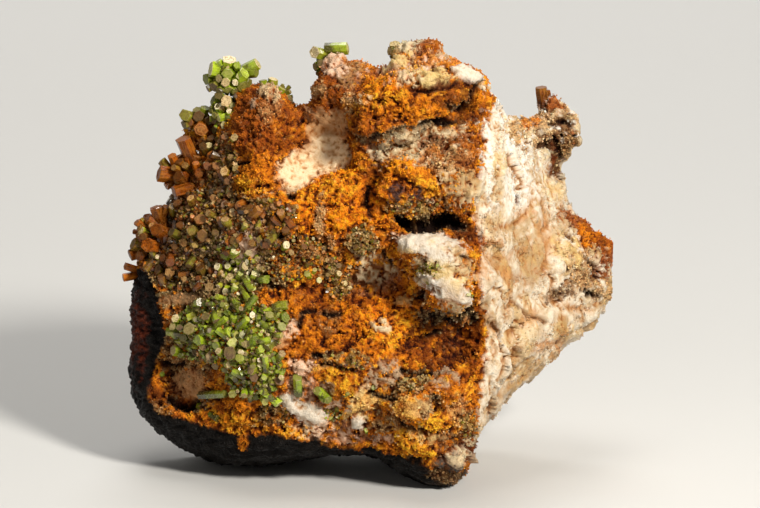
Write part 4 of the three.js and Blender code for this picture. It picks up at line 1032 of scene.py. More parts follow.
def rock_material():
    material, tree, shader = blank_material("rock")
    place = object_place(tree)
    fine = grain(tree, place, 2600.0)
    middle = grain(tree, place, 900.0)
    relief = worn(tree, "relief")
    quartz = worn(tree, "quartz")
    smooth = worn(tree, "smooth")
    goethite = worn(tree, "goethite")
    clean = work(tree, "ADD", quartz, smooth, clamp=True)
    mottle = work(tree, "MULTIPLY", fine["Mottle"], 0.6)
    grains = work(tree, "ADD", mottle, work(tree, "MULTIPLY", middle["Crumb"], 0.4))
    crumbly = ramp(
        tree,
        grains,
        (0.30, (0.34, 0.22, 0.15)),
        (0.50, (0.92, 0.86, 0.80)),
        (0.66, (1.0, 1.0, 1.0)),
    )
    sugary = ramp(
        tree,
        middle["Mottle"],
        (0.36, (0.86, 0.78, 0.68)),
        (0.50, (1.0, 0.98, 0.96)),
        (0.62, (1.0, 1.0, 1.0)),
    )
    variation = mix(tree, clean, crumbly, sugary)
    colour = mix(tree, 1.0, worn(tree, "tint", "Color"), variation, "MULTIPLY")
    # painted shade: the colour is darkened in the clefts and hollows, more softly on the quartz
    cleft_painted_shade = ramp(
        tree,
        relief,
        (0.06, (0.20, 0.11, 0.07)),
        (0.32, (0.68, 0.56, 0.46)),
        (0.48, (1.0, 1.0, 1.0)),
    )
    soft_cleft_painted_shade = ramp(
        tree,
        relief,
        (0.05, (0.50, 0.33, 0.18)),
        (0.30, (0.90, 0.80, 0.68)),
        (0.45, (1.0, 1.0, 1.0)),
    )
    colour = mix(tree, 1.0, colour, mix(tree, clean, cleft_painted_shade, soft_cleft_painted_shade), "MULTIPLY")
    # pale dust and painted highlight: proud spots of the crusts are lightened, fading out on the clean quartz
    dust_and_highlight_spots = work(tree, "MULTIPLY", fade(tree, relief, 0.62, 0.9), fade(tree, fine["Mottle"], 0.45, 0.62))
    dust_and_highlight_share = work(tree, "MULTIPLY", dust_and_highlight_spots, fade(tree, clean, 0.0, 1.0, 0.5, 0.0))
    lit = mix(tree, 1.0, colour, (1.4, 1.55, 1.8, 1), "MULTIPLY")
    colour = mix(tree, dust_and_highlight_share, colour, lit)
    tree.links.new(colour, shader.inputs["Base Color"])
    rough = work(tree, "SUBTRACT", 0.9, work(tree, "MULTIPLY", clean, 0.42))
    rough = work(tree, "SUBTRACT", rough, work(tree, "MULTIPLY", goethite, 0.45))
    rough = work(tree, "ADD", rough, fade(tree, fine["Mottle"], 0.35, 0.65, -0.08, 0.08), clamp=True)
    tree.links.new(rough, shader.inputs["Roughness"])
    heights = work(tree, "ADD", fine["Height"], work(tree, "MULTIPLY", middle["Height"], 1.2))
    amount = work(tree, "SUBTRACT", 1.0, work(tree, "MULTIPLY", clean, 0.55))
    tree.links.new(
        bump(tree, work(tree, "MULTIPLY", heights, amount), 0.9, 0.0004), shader.inputs["Normal"]
    )
    tree.links.new(work(tree, "MULTIPLY", quartz, 0.35), shader.inputs["Coat Weight"])
    shader.inputs["Coat Roughness"].default_value = 0.35
    shader.inputs["Specular IOR Level"].default_value = 0.15
    return material


def crumb_material(name, roughness, bump_strength, gloss):
    # Loose grains take the rock's own tint at the place where they sit.
    material, tree, shader = blank_material(name)
    fine = grain(tree, object_place(tree), 3200.0)
    shade = ramp(tree, fine["Mottle"], (0.34, (0.55, 0.45, 0.38)), (0.52, (1.0, 1.0, 1.0)))
    colour = mix(tree, 1.0, worn(tree, "tint", "Color"), shade, "MULTIPLY")
    tree.links.new(colour, shader.inputs["Base Color"])
    spread = fade(tree, fine["Crumb"], 0.0, 1.0, roughness - 0.12, roughness + 0.08)
    tree.links.new(spread, shader.inputs["Roughness"])
    tree.links.new(bump(tree, fine["Height"], bump_strength, 0.0002), shader.inputs["Normal"])
    shader.inputs["Specular IOR Level"].default_value = gloss
    return material


def crystal_material(name, dust, dusty, coat, gloss, striped):
    # Faces get painted shade towards the root and run to a clear body, amber to green by hue; ends are dusty
    # and pitted.
    material, tree, shader = blank_material(name)
    fine = grain(tree, object_place(tree), 3000.0)
    own = worn(tree, "own_place", "Vector")
    stretch = put(tree, "Mapping", {"Vector": own, "Scale": (2600.0, 2600.0, 500.0)}).outputs["Vector"]
    lines = put(tree, "TexNoise", {"Vector": stretch, "Scale": 1.0, "Detail": 2.0}).outputs["Fac"]
    cloudy = put(tree, "TexNoise", {"Vector": own, "Scale": 750.0, "Detail": 3.0}).outputs["Fac"]
    hue, tone = worn(tree, "hue"), worn(tree, "tone")
    hue = work(tree, "ADD", hue, fade(tree, cloudy, 0.3, 0.7, -0.12, 0.12), clamp=True)
    body = ramp(
        tree, hue,
        (0.0, (0.19, 0.042, 0.003)), (0.25, (0.12, 0.042, 0.006)), (0.5, (0.085, 0.062, 0.009)),
        (0.75, (0.13, 0.15, 0.010)), (1.0, (0.115, 0.19, 0.007)),
    )
    bright = ramp(
        tree, hue,
        (0.0, (0.56, 0.14, 0.009)), (0.3, (0.38, 0.17, 0.018)), (0.6, (0.42, 0.40, 0.035)),
        (1.0, (0.42, 0.56, 0.015)),
    )
    clear = work(tree, "MULTIPLY", tone, fade(tree, cloudy, 0.34, 0.6, 0.4, 1.0), clamp=True)
    colour = mix(tree, clear, body, bright)
    rise = work(tree, "ADD", worn(tree, "rise"), fade(tree, cloudy, 0.3, 0.7, -0.2, 0.2))
    # painted shade towards the root of each crystal
    root = ramp(tree, rise, (0.15, (0.22, 0.16, 0.14)), (0.75, (1.0, 1.0, 1.0)))
    colour = mix(tree, 1.0, colour, root, "MULTIPLY")
    colour = mix(tree, 1.0, colour, ramp(tree, lines, (0.34, striped), (0.54, (1, 1, 1))), "MULTIPLY")
    settled = work(tree, "MULTIPLY", fade(tree, fine["Mottle"], 0.48, 0.62), dusty)
    colour = mix(tree, settled, colour, (*dust, 1))
    tan = ramp(
        tree, tone,
        (0.0, (0.045, 0.024, 0.010)), (0.4, (0.17, 0.10, 0.04)), (0.8, (0.56, 0.43, 0.20)),
        (1.0, (0.86, 0.78, 0.54)),
    )
    pits = ramp(
        tree, fine["Mottle"],
        (0.38, (0.35, 0.24, 0.15)), (0.5, (0.9, 0.86, 0.8)), (0.6, (1.0, 1.0, 1.0)),
    )
    end = work(tree, "MULTIPLY", worn(tree, "cap"), worn(tree, "ends"))
    end = work(tree, "MULTIPLY", end, fade(tree, cloudy, 0.3, 0.5, 0.6, 1.0), clamp=True)
    warm = ramp(tree, hue, (0.0, (1.0, 0.50, 0.20)), (0.35, (0.95, 0.72, 0.50)), (0.7, (1.0, 1.0, 1.0)))
    tan = mix(tree, 1.0, mix(tree, 1.0, tan, pits, "MULTIPLY"), warm, "MULTIPLY")
    colour = mix(tree, end, colour, tan)
    tree.links.new(colour, shader.inputs["Base Color"])
    rough = fade(tree, settled, 0.0, 0.5, 0.17, 0.5)
    rough = work(tree, "ADD", rough, work(tree, "MULTIPLY", end, 0.45), clamp=True)
    tree.links.new(rough, shader.inputs["Roughness"])
    heights = work(tree, "MULTIPLY", lines, 0.5)
    heights = work(tree, "ADD", heights, work(tree, "MULTIPLY", fine["Height"], 0.5))
    tree.links.new(bump(tree, heights, 0.22, 0.00012), shader.inputs["Normal"])
    shader.inputs["Specular IOR Level"].default_value = gloss
    tree.links.new(fade(tree, end, 0.0, 0.8, coat, 0.3 * coat), shader.inputs["Coat Weight"])
    shader.inputs["Coat Roughness"].default_value = 0.12
    return material


make_stage()
light_stage()
ROCK = rock_material()

# Each material with its slot
OCHRE_CRUMBS = (crumb_material("ochre crumbs", 0.88, 0.6, 0.15), "ochre_crust")
QUARTZ_CRUMBS = (crumb_material("quartz sugar", 0.32, 0.3, 0.5), "milky_quartz")
EARTH_CRUMBS = (crumb_material("brown crumbs", 0.65, 0.5, 0.3), "goethite_rind")
GREEN = (
    crystal_material("green pyromorphite", (0.42, 0.34, 0.10), 0.25, 0.35, 0.6, (0.80, 0.80, 0.76)),
    "green_pyromorphite",
)
OLIVE = (
    crystal_material("olive pyromorphite", (0.20, 0.10, 0.03), 0.4, 0.4, 0.35, (0.60, 0.54, 0.48)),
    "olive_pyromorphite",
)
AMBER = (
    crystal_material("amber pyromorphite", (0.28, 0.10, 0.02), 0.4, 0.15, 0.15, (0.36, 0.28, 0.22)),
    "amber_pyromorphite",
)

rock = make_rock()
finish_piece(rock, ROCK, "matrix_rock", "matrix")
rock_points = points_of(rock.data)
rock_normals = normals_of(rock.data)
rock_place = to_face(rock_points)
rock_tint = read_attribute(rock.data, "tint", 4)[:, :3]
rock_kind = {name: read_attribute(rock.data, name, 1)[:, 0] for name in KINDS}
rock_front = read_attribute(rock.data, "front", 1)[:, 0]
rock_relief = read_attribute(rock.data, "relief", 1)[:, 0]
rock_tree = BVHTree.FromPolygons(rock_points.tolist(), [list(p.vertices) for p in rock.data.polygons])

# Crystals


def hash_of(n):
    spread = math.sin(n * 127.1 + 311.7) * 43758.5453
    return spread - math.floor(spread)


def jitter(n):
    return 2 * hash_of(n) - 1


def between(low, high, share):
    return low + (high - low) * share


def six_sided():
    # A plain prism of radius and length 1, on its root at the origin.
    bpy.ops.object.select_all(action="DESELECT")
    bpy.ops.mesh.primitive_cylinder_add(vertices=6, radius=1, depth=1, location=(0, 0, 0.5))
    bpy.ops.object.transform_apply()
    return bpy.context.object


def taken_apart(shape):
    # The points and faces of an object, which is then removed.
    mesh = shape.data
    points = points_of(mesh)
    faces = [list(face.vertices) for face in mesh.polygons]
    bpy.data.objects.remove(shape)
    bpy.data.meshes.remove(mesh)
    return points, faces


def model_prism(edge, barrel, step):
    # The same with bevelled edges, a bulge in the middle and a step on the free end.
    shape = six_sided()
    bpy.ops.object.mode_set(mode="EDIT")
    for level in (0.35, 0.75):
        bpy.ops.mesh.select_all(action="SELECT")
        bpy.ops.mesh.bisect(plane_co=(0, 0, level), plane_no=(0, 0, 1))
    bpy.ops.object.mode_set(mode="OBJECT")
    for vertex in shape.data.vertices:
        wide = np.interp(vertex.co.z, (0, 0.35, 0.75, 1), (1 - barrel, 1, 1, 1 - 0.5 * barrel))
        vertex.co.x *= wide
        vertex.co.y *= wide
    applied(shape, "BEVEL", width=edge, segments=1, limit_method="ANGLE", angle_limit=math.radians(40))
    if step:
        bpy.ops.object.mode_set(mode="EDIT")
        bpy.ops.mesh.select_all(action="DESELECT")
        bpy.ops.object.mode_set(mode="OBJECT")
        for face in shape.data.polygons:
            face.select = face.normal.z > 0.99
        bpy.ops.object.mode_set(mode="EDIT")
        bpy.ops.mesh.inset(thickness=0.26, depth=0)
        bpy.ops.mesh.inset(thickness=0.05, depth=step)
        bpy.ops.object.mode_set(mode="OBJECT")
    cap = np.array([face.center.z > 0.9 and face.normal.z > 0.2 for face in shape.data.polygons], float)
    points, faces = taken_apart(shape)
    z = points[:, 2]
    rise = np.where(z > 0.9, 1.0, np.where(z < 0.1, 0.0, z))
    return {"points": points, "rise": rise, "offset": z - rise, "faces": faces, "cap": cap}


SHAPES = [
    model_prism(0.05, 0.03, 0.0),
    model_prism(0.07, 0.16, 0.0),
    model_prism(0.05, 0.06, 0.10),
    model_prism(0.05, 0.08, -0.06),
]


def model_chip():
    # The plain prism for the smallest crystals.
    shape = six_sided()
    cap = np.array([face.normal.z > 0.5 for face in shape.data.polygons], float)
    points, faces = taken_apart(shape)
    z = points[:, 2]
    return {"points": points, "rise": z, "offset": 0 * z, "faces": faces, "cap": cap}


CHIP = model_chip()


def across(axis):
    aside = np.cross(axis, (0.31, 0.77, 0.55) if abs(axis[1]) < 0.9 else (1, 0, 0))
    aside /= np.linalg.norm(aside)
    return aside, np.cross(axis, aside)


def unit(vector):
    vector = np.asarray(vector, float)
    return vector / max(1e-9, np.linalg.norm(vector))


def crystal(root, axis, radius, length, turn, tone, hue, ends, shape):
    return dict(root=np.asarray(root, float), axis=unit(axis), radius=radius, length=length, turn=turn,
                tone=tone, hue=hue, ends=ends, shape=shape)


LAYERS = ("tone", "hue", "ends")


def crystal_piece(name, crystals, mineral, *replaced):
    points, faces, cap, rise, own_places = [], [], [], [], []
    layers = {layer: [] for layer in LAYERS}
    start = 0
    for number, c in enumerate(crystals):
        form = CHIP if c["shape"] < 0 else SHAPES[c["shape"]]
        bare = form["points"]
        angle = np.arctan2(bare[:, 1], bare[:, 0])
        uneven = 1 + 0.05 * np.cos(angle + number) + 0.10 * np.cos(2 * angle + 1.7 * number)
        x = bare[:, 0] * uneven * c["radius"]
        y = bare[:, 1] * uneven * c["radius"]
        slope = 0.12 * form["rise"] * (x * math.cos(2.3 * number) + y * math.sin(2.3 * number))
        z = form["rise"] * c["length"] + form["offset"] * c["radius"] + slope
        aside, up = across(c["axis"])
        cos, sin = math.cos(c["turn"]), math.sin(c["turn"])
        side = aside * cos + up * sin
        other = up * cos - aside * sin
        points.append(c["root"] + np.outer(x, side) + np.outer(y, other) + np.outer(z, c["axis"]))
        faces += [[start + i for i in face] for face in form["faces"]]
        cap.append(form["cap"])
        rise.append(form["rise"])
        for layer in LAYERS:
            layers[layer].append(np.full(len(bare), c[layer]))
        own_places.append(np.column_stack((x, y, z)) * MM + 0.013 * number)
        start += len(bare)
    piece = new_piece(name, to_world(np.vstack(points)), faces)
    mesh = piece.data
    for layer, parts in layers.items():
        set_attribute(mesh, layer, "FLOAT", np.concatenate(parts))
    set_attribute(mesh, "rise", "FLOAT", np.concatenate(rise))
    set_attribute(mesh, "own_place", "FLOAT_VECTOR", np.vstack(own_places))
    set_attribute(mesh, "cap", "FLOAT", np.concatenate(cap), "FACE")
    finish_piece(piece, *mineral, *replaced)


def by_hand(rows, start):
    # Each row: the middle of the free end, the way it points, radius, length, tone, hue, dusty end.
    made = []
    for i, (u, v, w, to_u, to_v, to_out, radius, length, tone, hue, ends) in enumerate(rows):
        axis = unit([to_u, to_v, to_out])
        root = np.array([u, v, w]) - axis * length
        turn = 2.1 * hash_of(start + i)
        made.append(crystal(root, axis, radius, length, turn, tone, hue, ends, (i + start) % 4))
    return made


def filling(heart, reach, count, start, radii, hues):
    # Small crystals that radiate from a heart, between the large ones.
    made = []
    for i in range(count):
        wild = [jitter(start + i * 3.1 + 0.2), jitter(start + i * 3.7 + 0.4), jitter(start + i * 4.3 + 0.6)]
        axis = unit(np.array(wild) * (1, 1, 0.7) + (0, 0, 0.25))
        length = reach * (0.72 + 0.20 * hash_of(start + i * 1.9))
        radius = between(*radii, hash_of(start + i * 2.9))
        hue = between(*hues, hash_of(i * 5.1))
        tone, ends = 0.8 * hash_of(i + 0.5), hash_of(i * 1.7 + 0.3)
        made.append(crystal(heart, axis, radius, length, i, tone, hue, ends, i % 4))
    return made


TWIN_SIZE = 0.62


def laid(rows, start, tone=0.5, hue=1.0, ends=0.5, twins=True):
    # Crystals laid one by one: root, free end and radius, with a smaller one grown along some of them.
    made = []
    for i, (root_u, root_v, root_w, end_u, end_v, end_w, radius) in enumerate(rows):
        root = np.array([root_u, root_v, root_w], float)
        run = np.array([end_u, end_v, end_w], float) - root
        length = np.linalg.norm(run)
        shade = np.clip(tone + 0.3 * jitter(start + i), 0, 1)
        turn = hash_of(i + 40) * 2
        made.append(crystal(root, run, radius, length, turn, shade, hue, ends, (i + start) % 3))
        if twins and hash_of(start + i * 1.3) > 0.35:
            aside, up = across(unit(run))
            turn = 6.28 * hash_of(start + i * 2.1)
            beside = (aside * math.cos(turn) + up * math.sin(turn)) * radius * TWIN_SIZE
            length *= 0.62 + 0.25 * hash_of(start + i * 3.3)
            radius *= TWIN_SIZE
            made.append(crystal(root + beside, run, radius, length, turn, shade * 0.8, hue * 0.9, ends, 1))
    return made


def surface_at(u, v):
    start = Vector(to_world([u, v, 90])[0])
    place, normal = rock_tree.ray_cast(start, Vector(-TOWARDS_VIEWER))[:2]
    if place is None:
        return None, None
    x, y, z = normal
    return to_face([place])[0], np.array([x, y * LEAN_SIN + z * LEAN_COS, z * LEAN_SIN - y * LEAN_COS])


def seated(rows):
    # The third value of each end is its rise over the rock, and becomes its place.
    lifted = []
    for root_u, root_v, root_rise, end_u, end_v, end_rise, radius in rows:
        root_w = surface_at(root_u, root_v)[0][2] + root_rise
        end_w = surface_at(end_u, end_v)[0][2] + end_rise
        lifted.append((root_u, root_v, root_w, end_u, end_v, end_w, radius))
    return lifted


ROOT_DEPTH = 1.2


def standing(rows, start):
    # Druse crystals one by one: middle of the end, radius, lean to the side and up, tone, hue, dusty end.
    made = []
    for i, (u, v, radius, to_u, to_v, tone, hue, ends) in enumerate(rows):
        place, normal = surface_at(u, v)
        axis = unit(np.array([to_u, to_v, 1.0]) + 0.3 * unit(normal))
        length = radius * (0.9 + 0.5 * hash_of(start + i)) + ROOT_DEPTH
        root = place - axis * ROOT_DEPTH
        made.append(crystal(root, axis, radius, length, hash_of(i) * 2, tone, hue, ends, (i + start) % 4))
    return made


def grown_over(patches, count, radii, heights, seed, tone, hue, ends, shapes=(0, 1, 2, 3), lean=0.7,
               spacing=0.8, taken=(), darker=1.0):
    # Crystals spread over ellipses of the face, none too near another.
    random = np.random.default_rng(seed)
    weights = np.array([half_u * half_v for _, _, half_u, half_v in patches])
    made, places = [], list(taken)
    for _ in range(count * 12):
        if len(made) >= count:
            break
        u0, v0, half_u, half_v = patches[random.choice(len(patches), p=weights / weights.sum())]
        turn, out = random.uniform(0, 2 * math.pi), math.sqrt(random.uniform())
        radius = between(*radii, random.uniform() ** 1.8)
        u, v = u0 + half_u * out * math.cos(turn), v0 + half_v * out * math.sin(turn)
        wild = random.uniform(-1, 1, 3)
        height = between(*heights, random.uniform())
        shade = between(*tone, random.uniform() ** darker)
        colour, shape = random.uniform(*hue), int(random.choice(shapes))
        dusty = min(1, random.uniform(*ends))
        if any((u - a) ** 2 + (v - b) ** 2 < (spacing * (radius + r)) ** 2 for a, b, r in places):
            continue
        place, normal = surface_at(u, v)
        if place is None:
            continue
        axis = unit(unit(normal) + (0, 0, 0.35) + lean * wild)
        sink = 0.5 * radius + 0.25
        root, length = place - axis * sink, radius * height + sink
        made.append(crystal(root, axis, radius, length, turn, shade, colour, dusty, shape))
        places.append((u, v, radius))
    return made


# The groups of crystals, each in the place of its CAD piece

CREST = [
    (-31.0, 94.5, 3.2, 0.0, 0.75, 0.65, 1.65, 5.0, 0.95, 0.85, 1.0),
    (-35.3, 92.3, 2.6, -0.93, 0.1, 0.35, 1.85, 5.0, 0.9, 0.97, 0.7),
    (-31.4, 91.2, 5.6, -0.15, -0.1, 1.0, 1.35, 4.5, 0.55, 1.0, 0.4),
    (-24.7, 93.5, 3.2, 0.85, 0.4, 0.35, 1.35, 5.0, 0.85, 0.9, 0.8),
    (-27.6, 91.4, 5.2, 0.55, 0.55, 0.62, 1.35, 4.5, 0.9, 0.98, 0.15),
    (-36.4, 90.2, 1.4, -0.8, -0.05, 0.6, 1.25, 4.0, 0.35, 0.85, 0.4),
    (-31.8, 89.3, 5.6, -0.1, -0.35, 0.93, 1.15, 4.0, 0.8, 0.85, 1.0),
    (-29.7, 89.3, 5.8, 0.1, -0.2, 0.97, 0.8, 4.0, 0.95, 0.85, 1.0),
    (-34.5, 88.2, 3.6, -0.55, -0.5, 0.67, 1.3, 4.0, 0.3, 0.6, 0.9),
    (-35.9, 87.9, 2.0, -0.8, -0.5, 0.35, 0.9, 3.5, 0.4, 0.5, 0.9),
    (-31.2, 87.6, 4.4, 0.1, -0.75, 0.65, 1.25, 4.0, 0.7, 0.9, 0.6),
    (-28.0, 88.4, 4.8, 0.35, -0.45, 0.82, 1.35, 4.5, 0.35, 0.75, 0.5),
    (-25.0, 91.6, 3.6, 0.85, 0.05, 0.5, 1.1, 4.0, 0.3, 0.85, 0.3),
    (-33.4, 90.2, 4.6, -0.45, -0.1, 0.9, 0.9, 4.0, 0.6, 0.9, 0.9),
    (-29.3, 93.2, 4.6, 0.1, 0.35, 0.93, 1.0, 4.0, 0.5, 0.95, 0.2),
    (-33.2, 87.4, 4.2, -0.3, -0.6, 0.75, 1.1, 4.0, 0.3, 0.75, 0.8),
    (-29.6, 87.2, 4.6, 0.3, -0.5, 0.8, 1.0, 4.0, 0.35, 0.8, 0.7),
    (-26.6, 89.2, 4.2, 0.7, -0.4, 0.6, 1.0, 4.0, 0.3, 0.8, 0.6),
    (-33.6, 94.2, 2.8, -0.5, 0.8, 0.4, 1.1, 4.0, 0.85, 1.0, 0.2),
]
NECK = [
    (-31.7, 85.3, 5.8, -0.1, 0.1, 1.0, 1.4, 5.0, 0.85, 0.55, 1.0),
    (-33.6, 84.1, 4.8, -0.3, 0.55, 0.8, 1.0, 4.0, 1.0, 0.9, 0.9),
    (-29.6, 82.2, 6.4, 0.75, 0.2, 0.6, 1.0, 4.6, 1.0, 0.9, 0.4),
    (-31.0, 83.0, 6.2, 0.1, 0.6, 0.8, 0.8, 3.6, 0.95, 0.9, 1.0),
    (-29.2, 80.8, 6.0, 0.6, 0.35, 0.7, 0.9, 4.2, 1.0, 0.85, 0.3),
    (-32.2, 80.0, 5.4, -0.3, 0.2, 0.9, 0.9, 4.0, 0.85, 0.8, 0.8),
    (-33.4, 81.3, 5.4, -0.9, -0.3, 0.3, 0.95, 4.4, 1.0, 0.95, 0.5),
    (-33.2, 82.6, 3.6, -0.6, -0.1, 0.8, 1.1, 4.0, 0.35, 0.7, 0.8),
    (-32.4, 78.6, 3.8, -0.5, 0.55, 0.65, 1.0, 4.0, 0.35, 0.85, 0.2),
    (-30.2, 79.8, 4.6, -0.2, 0.5, 0.85, 0.9, 4.0, 0.8, 0.97, 0.2),
    (-34.6, 79.0, 1.8, -0.8, 0.0, 0.6, 1.0, 4.0, 0.2, 0.6, 0.6),
    (-34.8, 85.6, 2.2, -0.9, 0.2, 0.4, 1.2, 4.0, 0.4, 0.85, 0.4),
    (-29.2, 86.4, 4.8, 0.2, 0.3, 0.93, 0.9, 4.0, 0.2, 0.4, 0.8),
    (-33.4, 86.6, 4.0, -0.5, 0.4, 0.8, 1.1, 4.5, 0.35, 0.7, 0.8),
    (-30.2, 84.2, 5.2, 0.3, 0.2, 0.93, 0.9, 4.0, 0.6, 0.8, 0.6),
    (-35.4, 83.4, 2.4, -0.9, 0.1, 0.4, 1.1, 4.5, 0.25, 0.6, 0.5),
    (-34.6, 81.0, 3.0, -0.8, -0.2, 0.6, 1.0, 4.5, 0.2, 0.5, 0.8),
    (-31.2, 77.2, 4.4, -0.1, 0.3, 0.95, 0.9, 4.0, 0.45, 0.7, 0.8),
    (-33.6, 76.6, 3.8, -0.5, 0.3, 0.8, 0.9, 4.0, 0.3, 0.4, 0.9),
    (-29.6, 78.0, 4.8, 0.1, 0.2, 0.97, 0.8, 4.0, 0.6, 0.85, 0.6),
]
LEFT_TIP = [
    (-41.0, 82.2, 1.5, -0.55, 0.2, 0.8, 1.55, 4.5, 0.55, 0.62, 0.3),
    (-41.2, 80.0, 0.5, -0.7, -0.4, 0.6, 1.1, 4.0, 0.35, 0.5, 0.2),
    (-38.4, 83.5, 0.6, -0.2, 0.85, 0.45, 1.1, 4.0, 0.3, 0.65, 0.4),
    (-36.4, 83.9, 0.2, 0.35, 0.85, 0.4, 1.2, 4.0, 0.2, 0.8, 0.2),
    (-38.0, 82.0, 2.2, 0.0, 0.1, 1.0, 1.4, 4.0, 0.2, 0.45, 0.8),
    (-37.4, 79.0, 2.2, 0.0, -0.35, 0.93, 1.7, 4.0, 0.7, 0.05, 0.8),
    (-35.6, 81.0, 1.6, 0.5, 0.0, 0.85, 1.0, 4.0, 0.2, 0.35, 0.5),
    (-39.8, 80.6, 1.2, -0.5, -0.2, 0.85, 0.9, 4.0, 0.6, 0.15, 0.3),
]
REAR_CREST = [
    (-21.4, 90.3, 0.0, 0.1, 0.95, 0.3, 1.1, 5.0, 0.9, 0.7, 0.9),
    (-23.8, 90.0, 0.2, -0.2, 0.95, 0.3, 0.9, 5.0, 0.4, 0.85, 0.4),
    (-19.4, 88.3, -1.0, 0.5, 0.8, 0.3, 1.1, 5.0, 0.7, 0.8, 0.5),
    (-17.8, 86.0, -1.6, 0.7, 0.5, 0.4, 1.25, 5.0, 0.6, 0.6, 0.8),
    (-17.0, 84.2, -1.6, 0.9, 0.1, 0.4, 1.2, 5.0, 0.5, 0.5, 0.9),
    (-18.6, 85.0, 0.0, 0.3, 0.3, 0.9, 1.2, 5.0, 0.45, 0.55, 0.9),
]
AMBER_PRISMS = [
    (-41.3, 77.0, 3.4, -0.38, 0.88, 0.28, 1.85, 7.5, 0.45, 0.08, 0.3),
    (-43.8, 73.3, 2.6, -0.3, 0.75, 0.6, 1.2, 5.0, 0.7, 0.02, 0.5),
    (-46.2, 72.2, 0.6, -0.6, 0.75, 0.25, 1.0, 5.0, 0.4, 0.45, 0.2),
    (-46.8, 69.2, 2.0, -0.93, 0.1, 0.35, 1.75, 7.0, 0.45, 0.08, 0.3),
    (-42.4, 68.7, 5.4, -0.45, 0.35, 0.8, 1.35, 6.0, 0.1, 0.2, 0.5),
    (-43.4, 65.3, 4.2, -0.95, -0.25, 0.2, 1.55, 7.0, 0.4, 0.06, 0.3),
    (-38.4, 71.6, 6.0, -0.1, 0.75, 0.65, 0.95, 4.0, 0.8, 0.0, 0.2),
    (-34.8, 73.1, 6.6, 0.1, 0.25, 0.95, 1.25, 4.5, 0.9, 0.03, 0.2),
    (-33.1, 74.6, 6.2, 0.2, 0.4, 0.88, 0.95, 4.0, 0.6, 0.2, 1.0),
    (-31.5, 71.3, 6.6, 0.1, 0.2, 0.97, 1.0, 4.0, 0.7, 0.6, 0.9),
    (-36.9, 75.3, 5.0, -0.2, 0.5, 0.85, 1.05, 4.0, 0.1, 0.4, 0.8),
    (-35.2, 77.2, 3.6, -0.3, 0.6, 0.75, 0.9, 4.0, 0.15, 0.35, 0.6),
    (-45.2, 66.4, 1.6, -0.8, -0.5, 0.35, 1.0, 5.0, 0.3, 0.1, 0.2),
    (-37.6, 69.3, 6.8, 0.1, 0.1, 0.99, 1.2, 4.0, 0.25, 0.12, 0.4),
    (-36.6, 67.0, 6.4, 0.3, -0.1, 0.95, 1.0, 4.0, 0.2, 0.3, 0.7),
]
SHOULDER_PRISMS = [
    (-47.3, 61.8, 1.6, -0.35, 0.85, 0.4, 1.5, 6.0, 0.15, 0.15, 0.2),
    (-45.0, 62.0, 2.0, 0.3, 0.8, 0.5, 1.1, 5.0, 0.1, 0.2, 0.3),
    (-49.3, 59.4, 0.8, -0.8, 0.5, 0.3, 1.3, 5.0, 0.3, 0.05, 0.2),
    (-47.2, 57.0, 4.4, -0.45, 0.3, 0.8, 1.75, 6.0, 0.2, 0.1, 0.3),
    (-50.8, 56.6, 1.2, -0.75, 0.35, 0.55, 1.3, 5.0, 0.85, 0.75, 0.9),
    (-49.2, 53.6, 3.0, -0.6, 0.1, 0.75, 1.9, 6.0, 0.7, 0.0, 0.1),
    (-52.6, 53.8, -0.6, -0.9, 0.2, 0.4, 1.4, 6.0, 0.4, 0.4, 0.3),
    (-53.3, 51.2, -2.0, -0.9, -0.3, 0.3, 1.4, 6.0, 0.2, 0.1, 0.3),
    (-51.0, 51.0, 0.8, -0.5, -0.4, 0.75, 1.2, 5.0, 0.15, 0.15, 0.4),
]
RIM_PRISMS = [(-50.5, 47.5, -6, -54.4, 48.8, -4.5, 1.0), (-50.5, 47.0, -6, -54.9, 46.2, -4.5, 1.0)]
PEAK_PRISMS = [
    (-4.9, 97.0, 2.6, 1.0, 0.02, 0.12, 1.4, 5.2, 0.75, 0.95, 0.6),
    (-12.3, 96.0, 3.8, -0.6, 0.1, 0.8, 1.55, 4.0, 0.9, 0.7, 1.0),
    (-9.0, 94.6, 4.0, 0.1, 0.5, 0.85, 0.8, 3.5, 0.9, 0.95, 0.5),
    (-12.2, 92.8, 3.2, -0.75, -0.3, 0.6, 1.0, 4.0, 0.5, 0.85, 0.9),
    (-11.0, 93.6, 4.4, -0.2, 0.1, 0.97, 0.9, 4.0, 0.4, 0.8, 0.9),
    (-11.4, 91.2, 3.0, -0.5, -0.6, 0.6, 0.8, 3.5, 0.3, 0.7, 0.8),
    (-10.0, 92.4, 4.2, 0.1, -0.3, 0.95, 0.7, 3.5, 0.4, 0.9, 0.3),
]
SUMMIT_PRISMS = [
    (5.4, 98.0, 3.6, -0.3, 0.75, 0.6, 1.2, 4.0, 0.8, 0.7, 0.95),
    (4.3, 96.4, 3.4, -0.8, 0.1, 0.6, 1.1, 4.0, 0.8, 0.8, 0.95),
    (5.3, 95.4, 4.0, -0.4, -0.5, 0.8, 0.9, 3.5, 0.7, 0.65, 1.0),
    (6.8, 97.2, 4.2, 0.1, 0.4, 0.9, 0.8, 3.5, 0.9, 0.75, 0.95),
]
ARM_PRISM = [(38.9, 84.2, -12.5, 38.2, 88.8, -11.8, 1.6)]
SILL_PRISM = [(-37.4, 20.4, 0.5, -31.6, 20.9, 0.7, 1.05)]
RIM_EDGE_PRISM = [(-33.4, 15.2, 0.5, -37.8, 18.0, 0.8, 1.1)]
UPRIGHT_PRISM = [(-15.6, 20.8, 0.4, -15.8, 24.6, 1.5, 1.2)]
LYING_PRISMS = [(-20.6, 19.6, 0.8, -24.0, 21.8, 0.9, 0.95), (-21.6, 20.4, -0.6, -19.8, 18.7, 1.8, 1.0)]
TWIN_PRISMS = [(-9.4, 20.6, -0.8, -11.6, 21.8, 1.4, 1.15), (-10.4, 21.0, -0.8, -9.0, 19.6, 1.6, 1.15)]
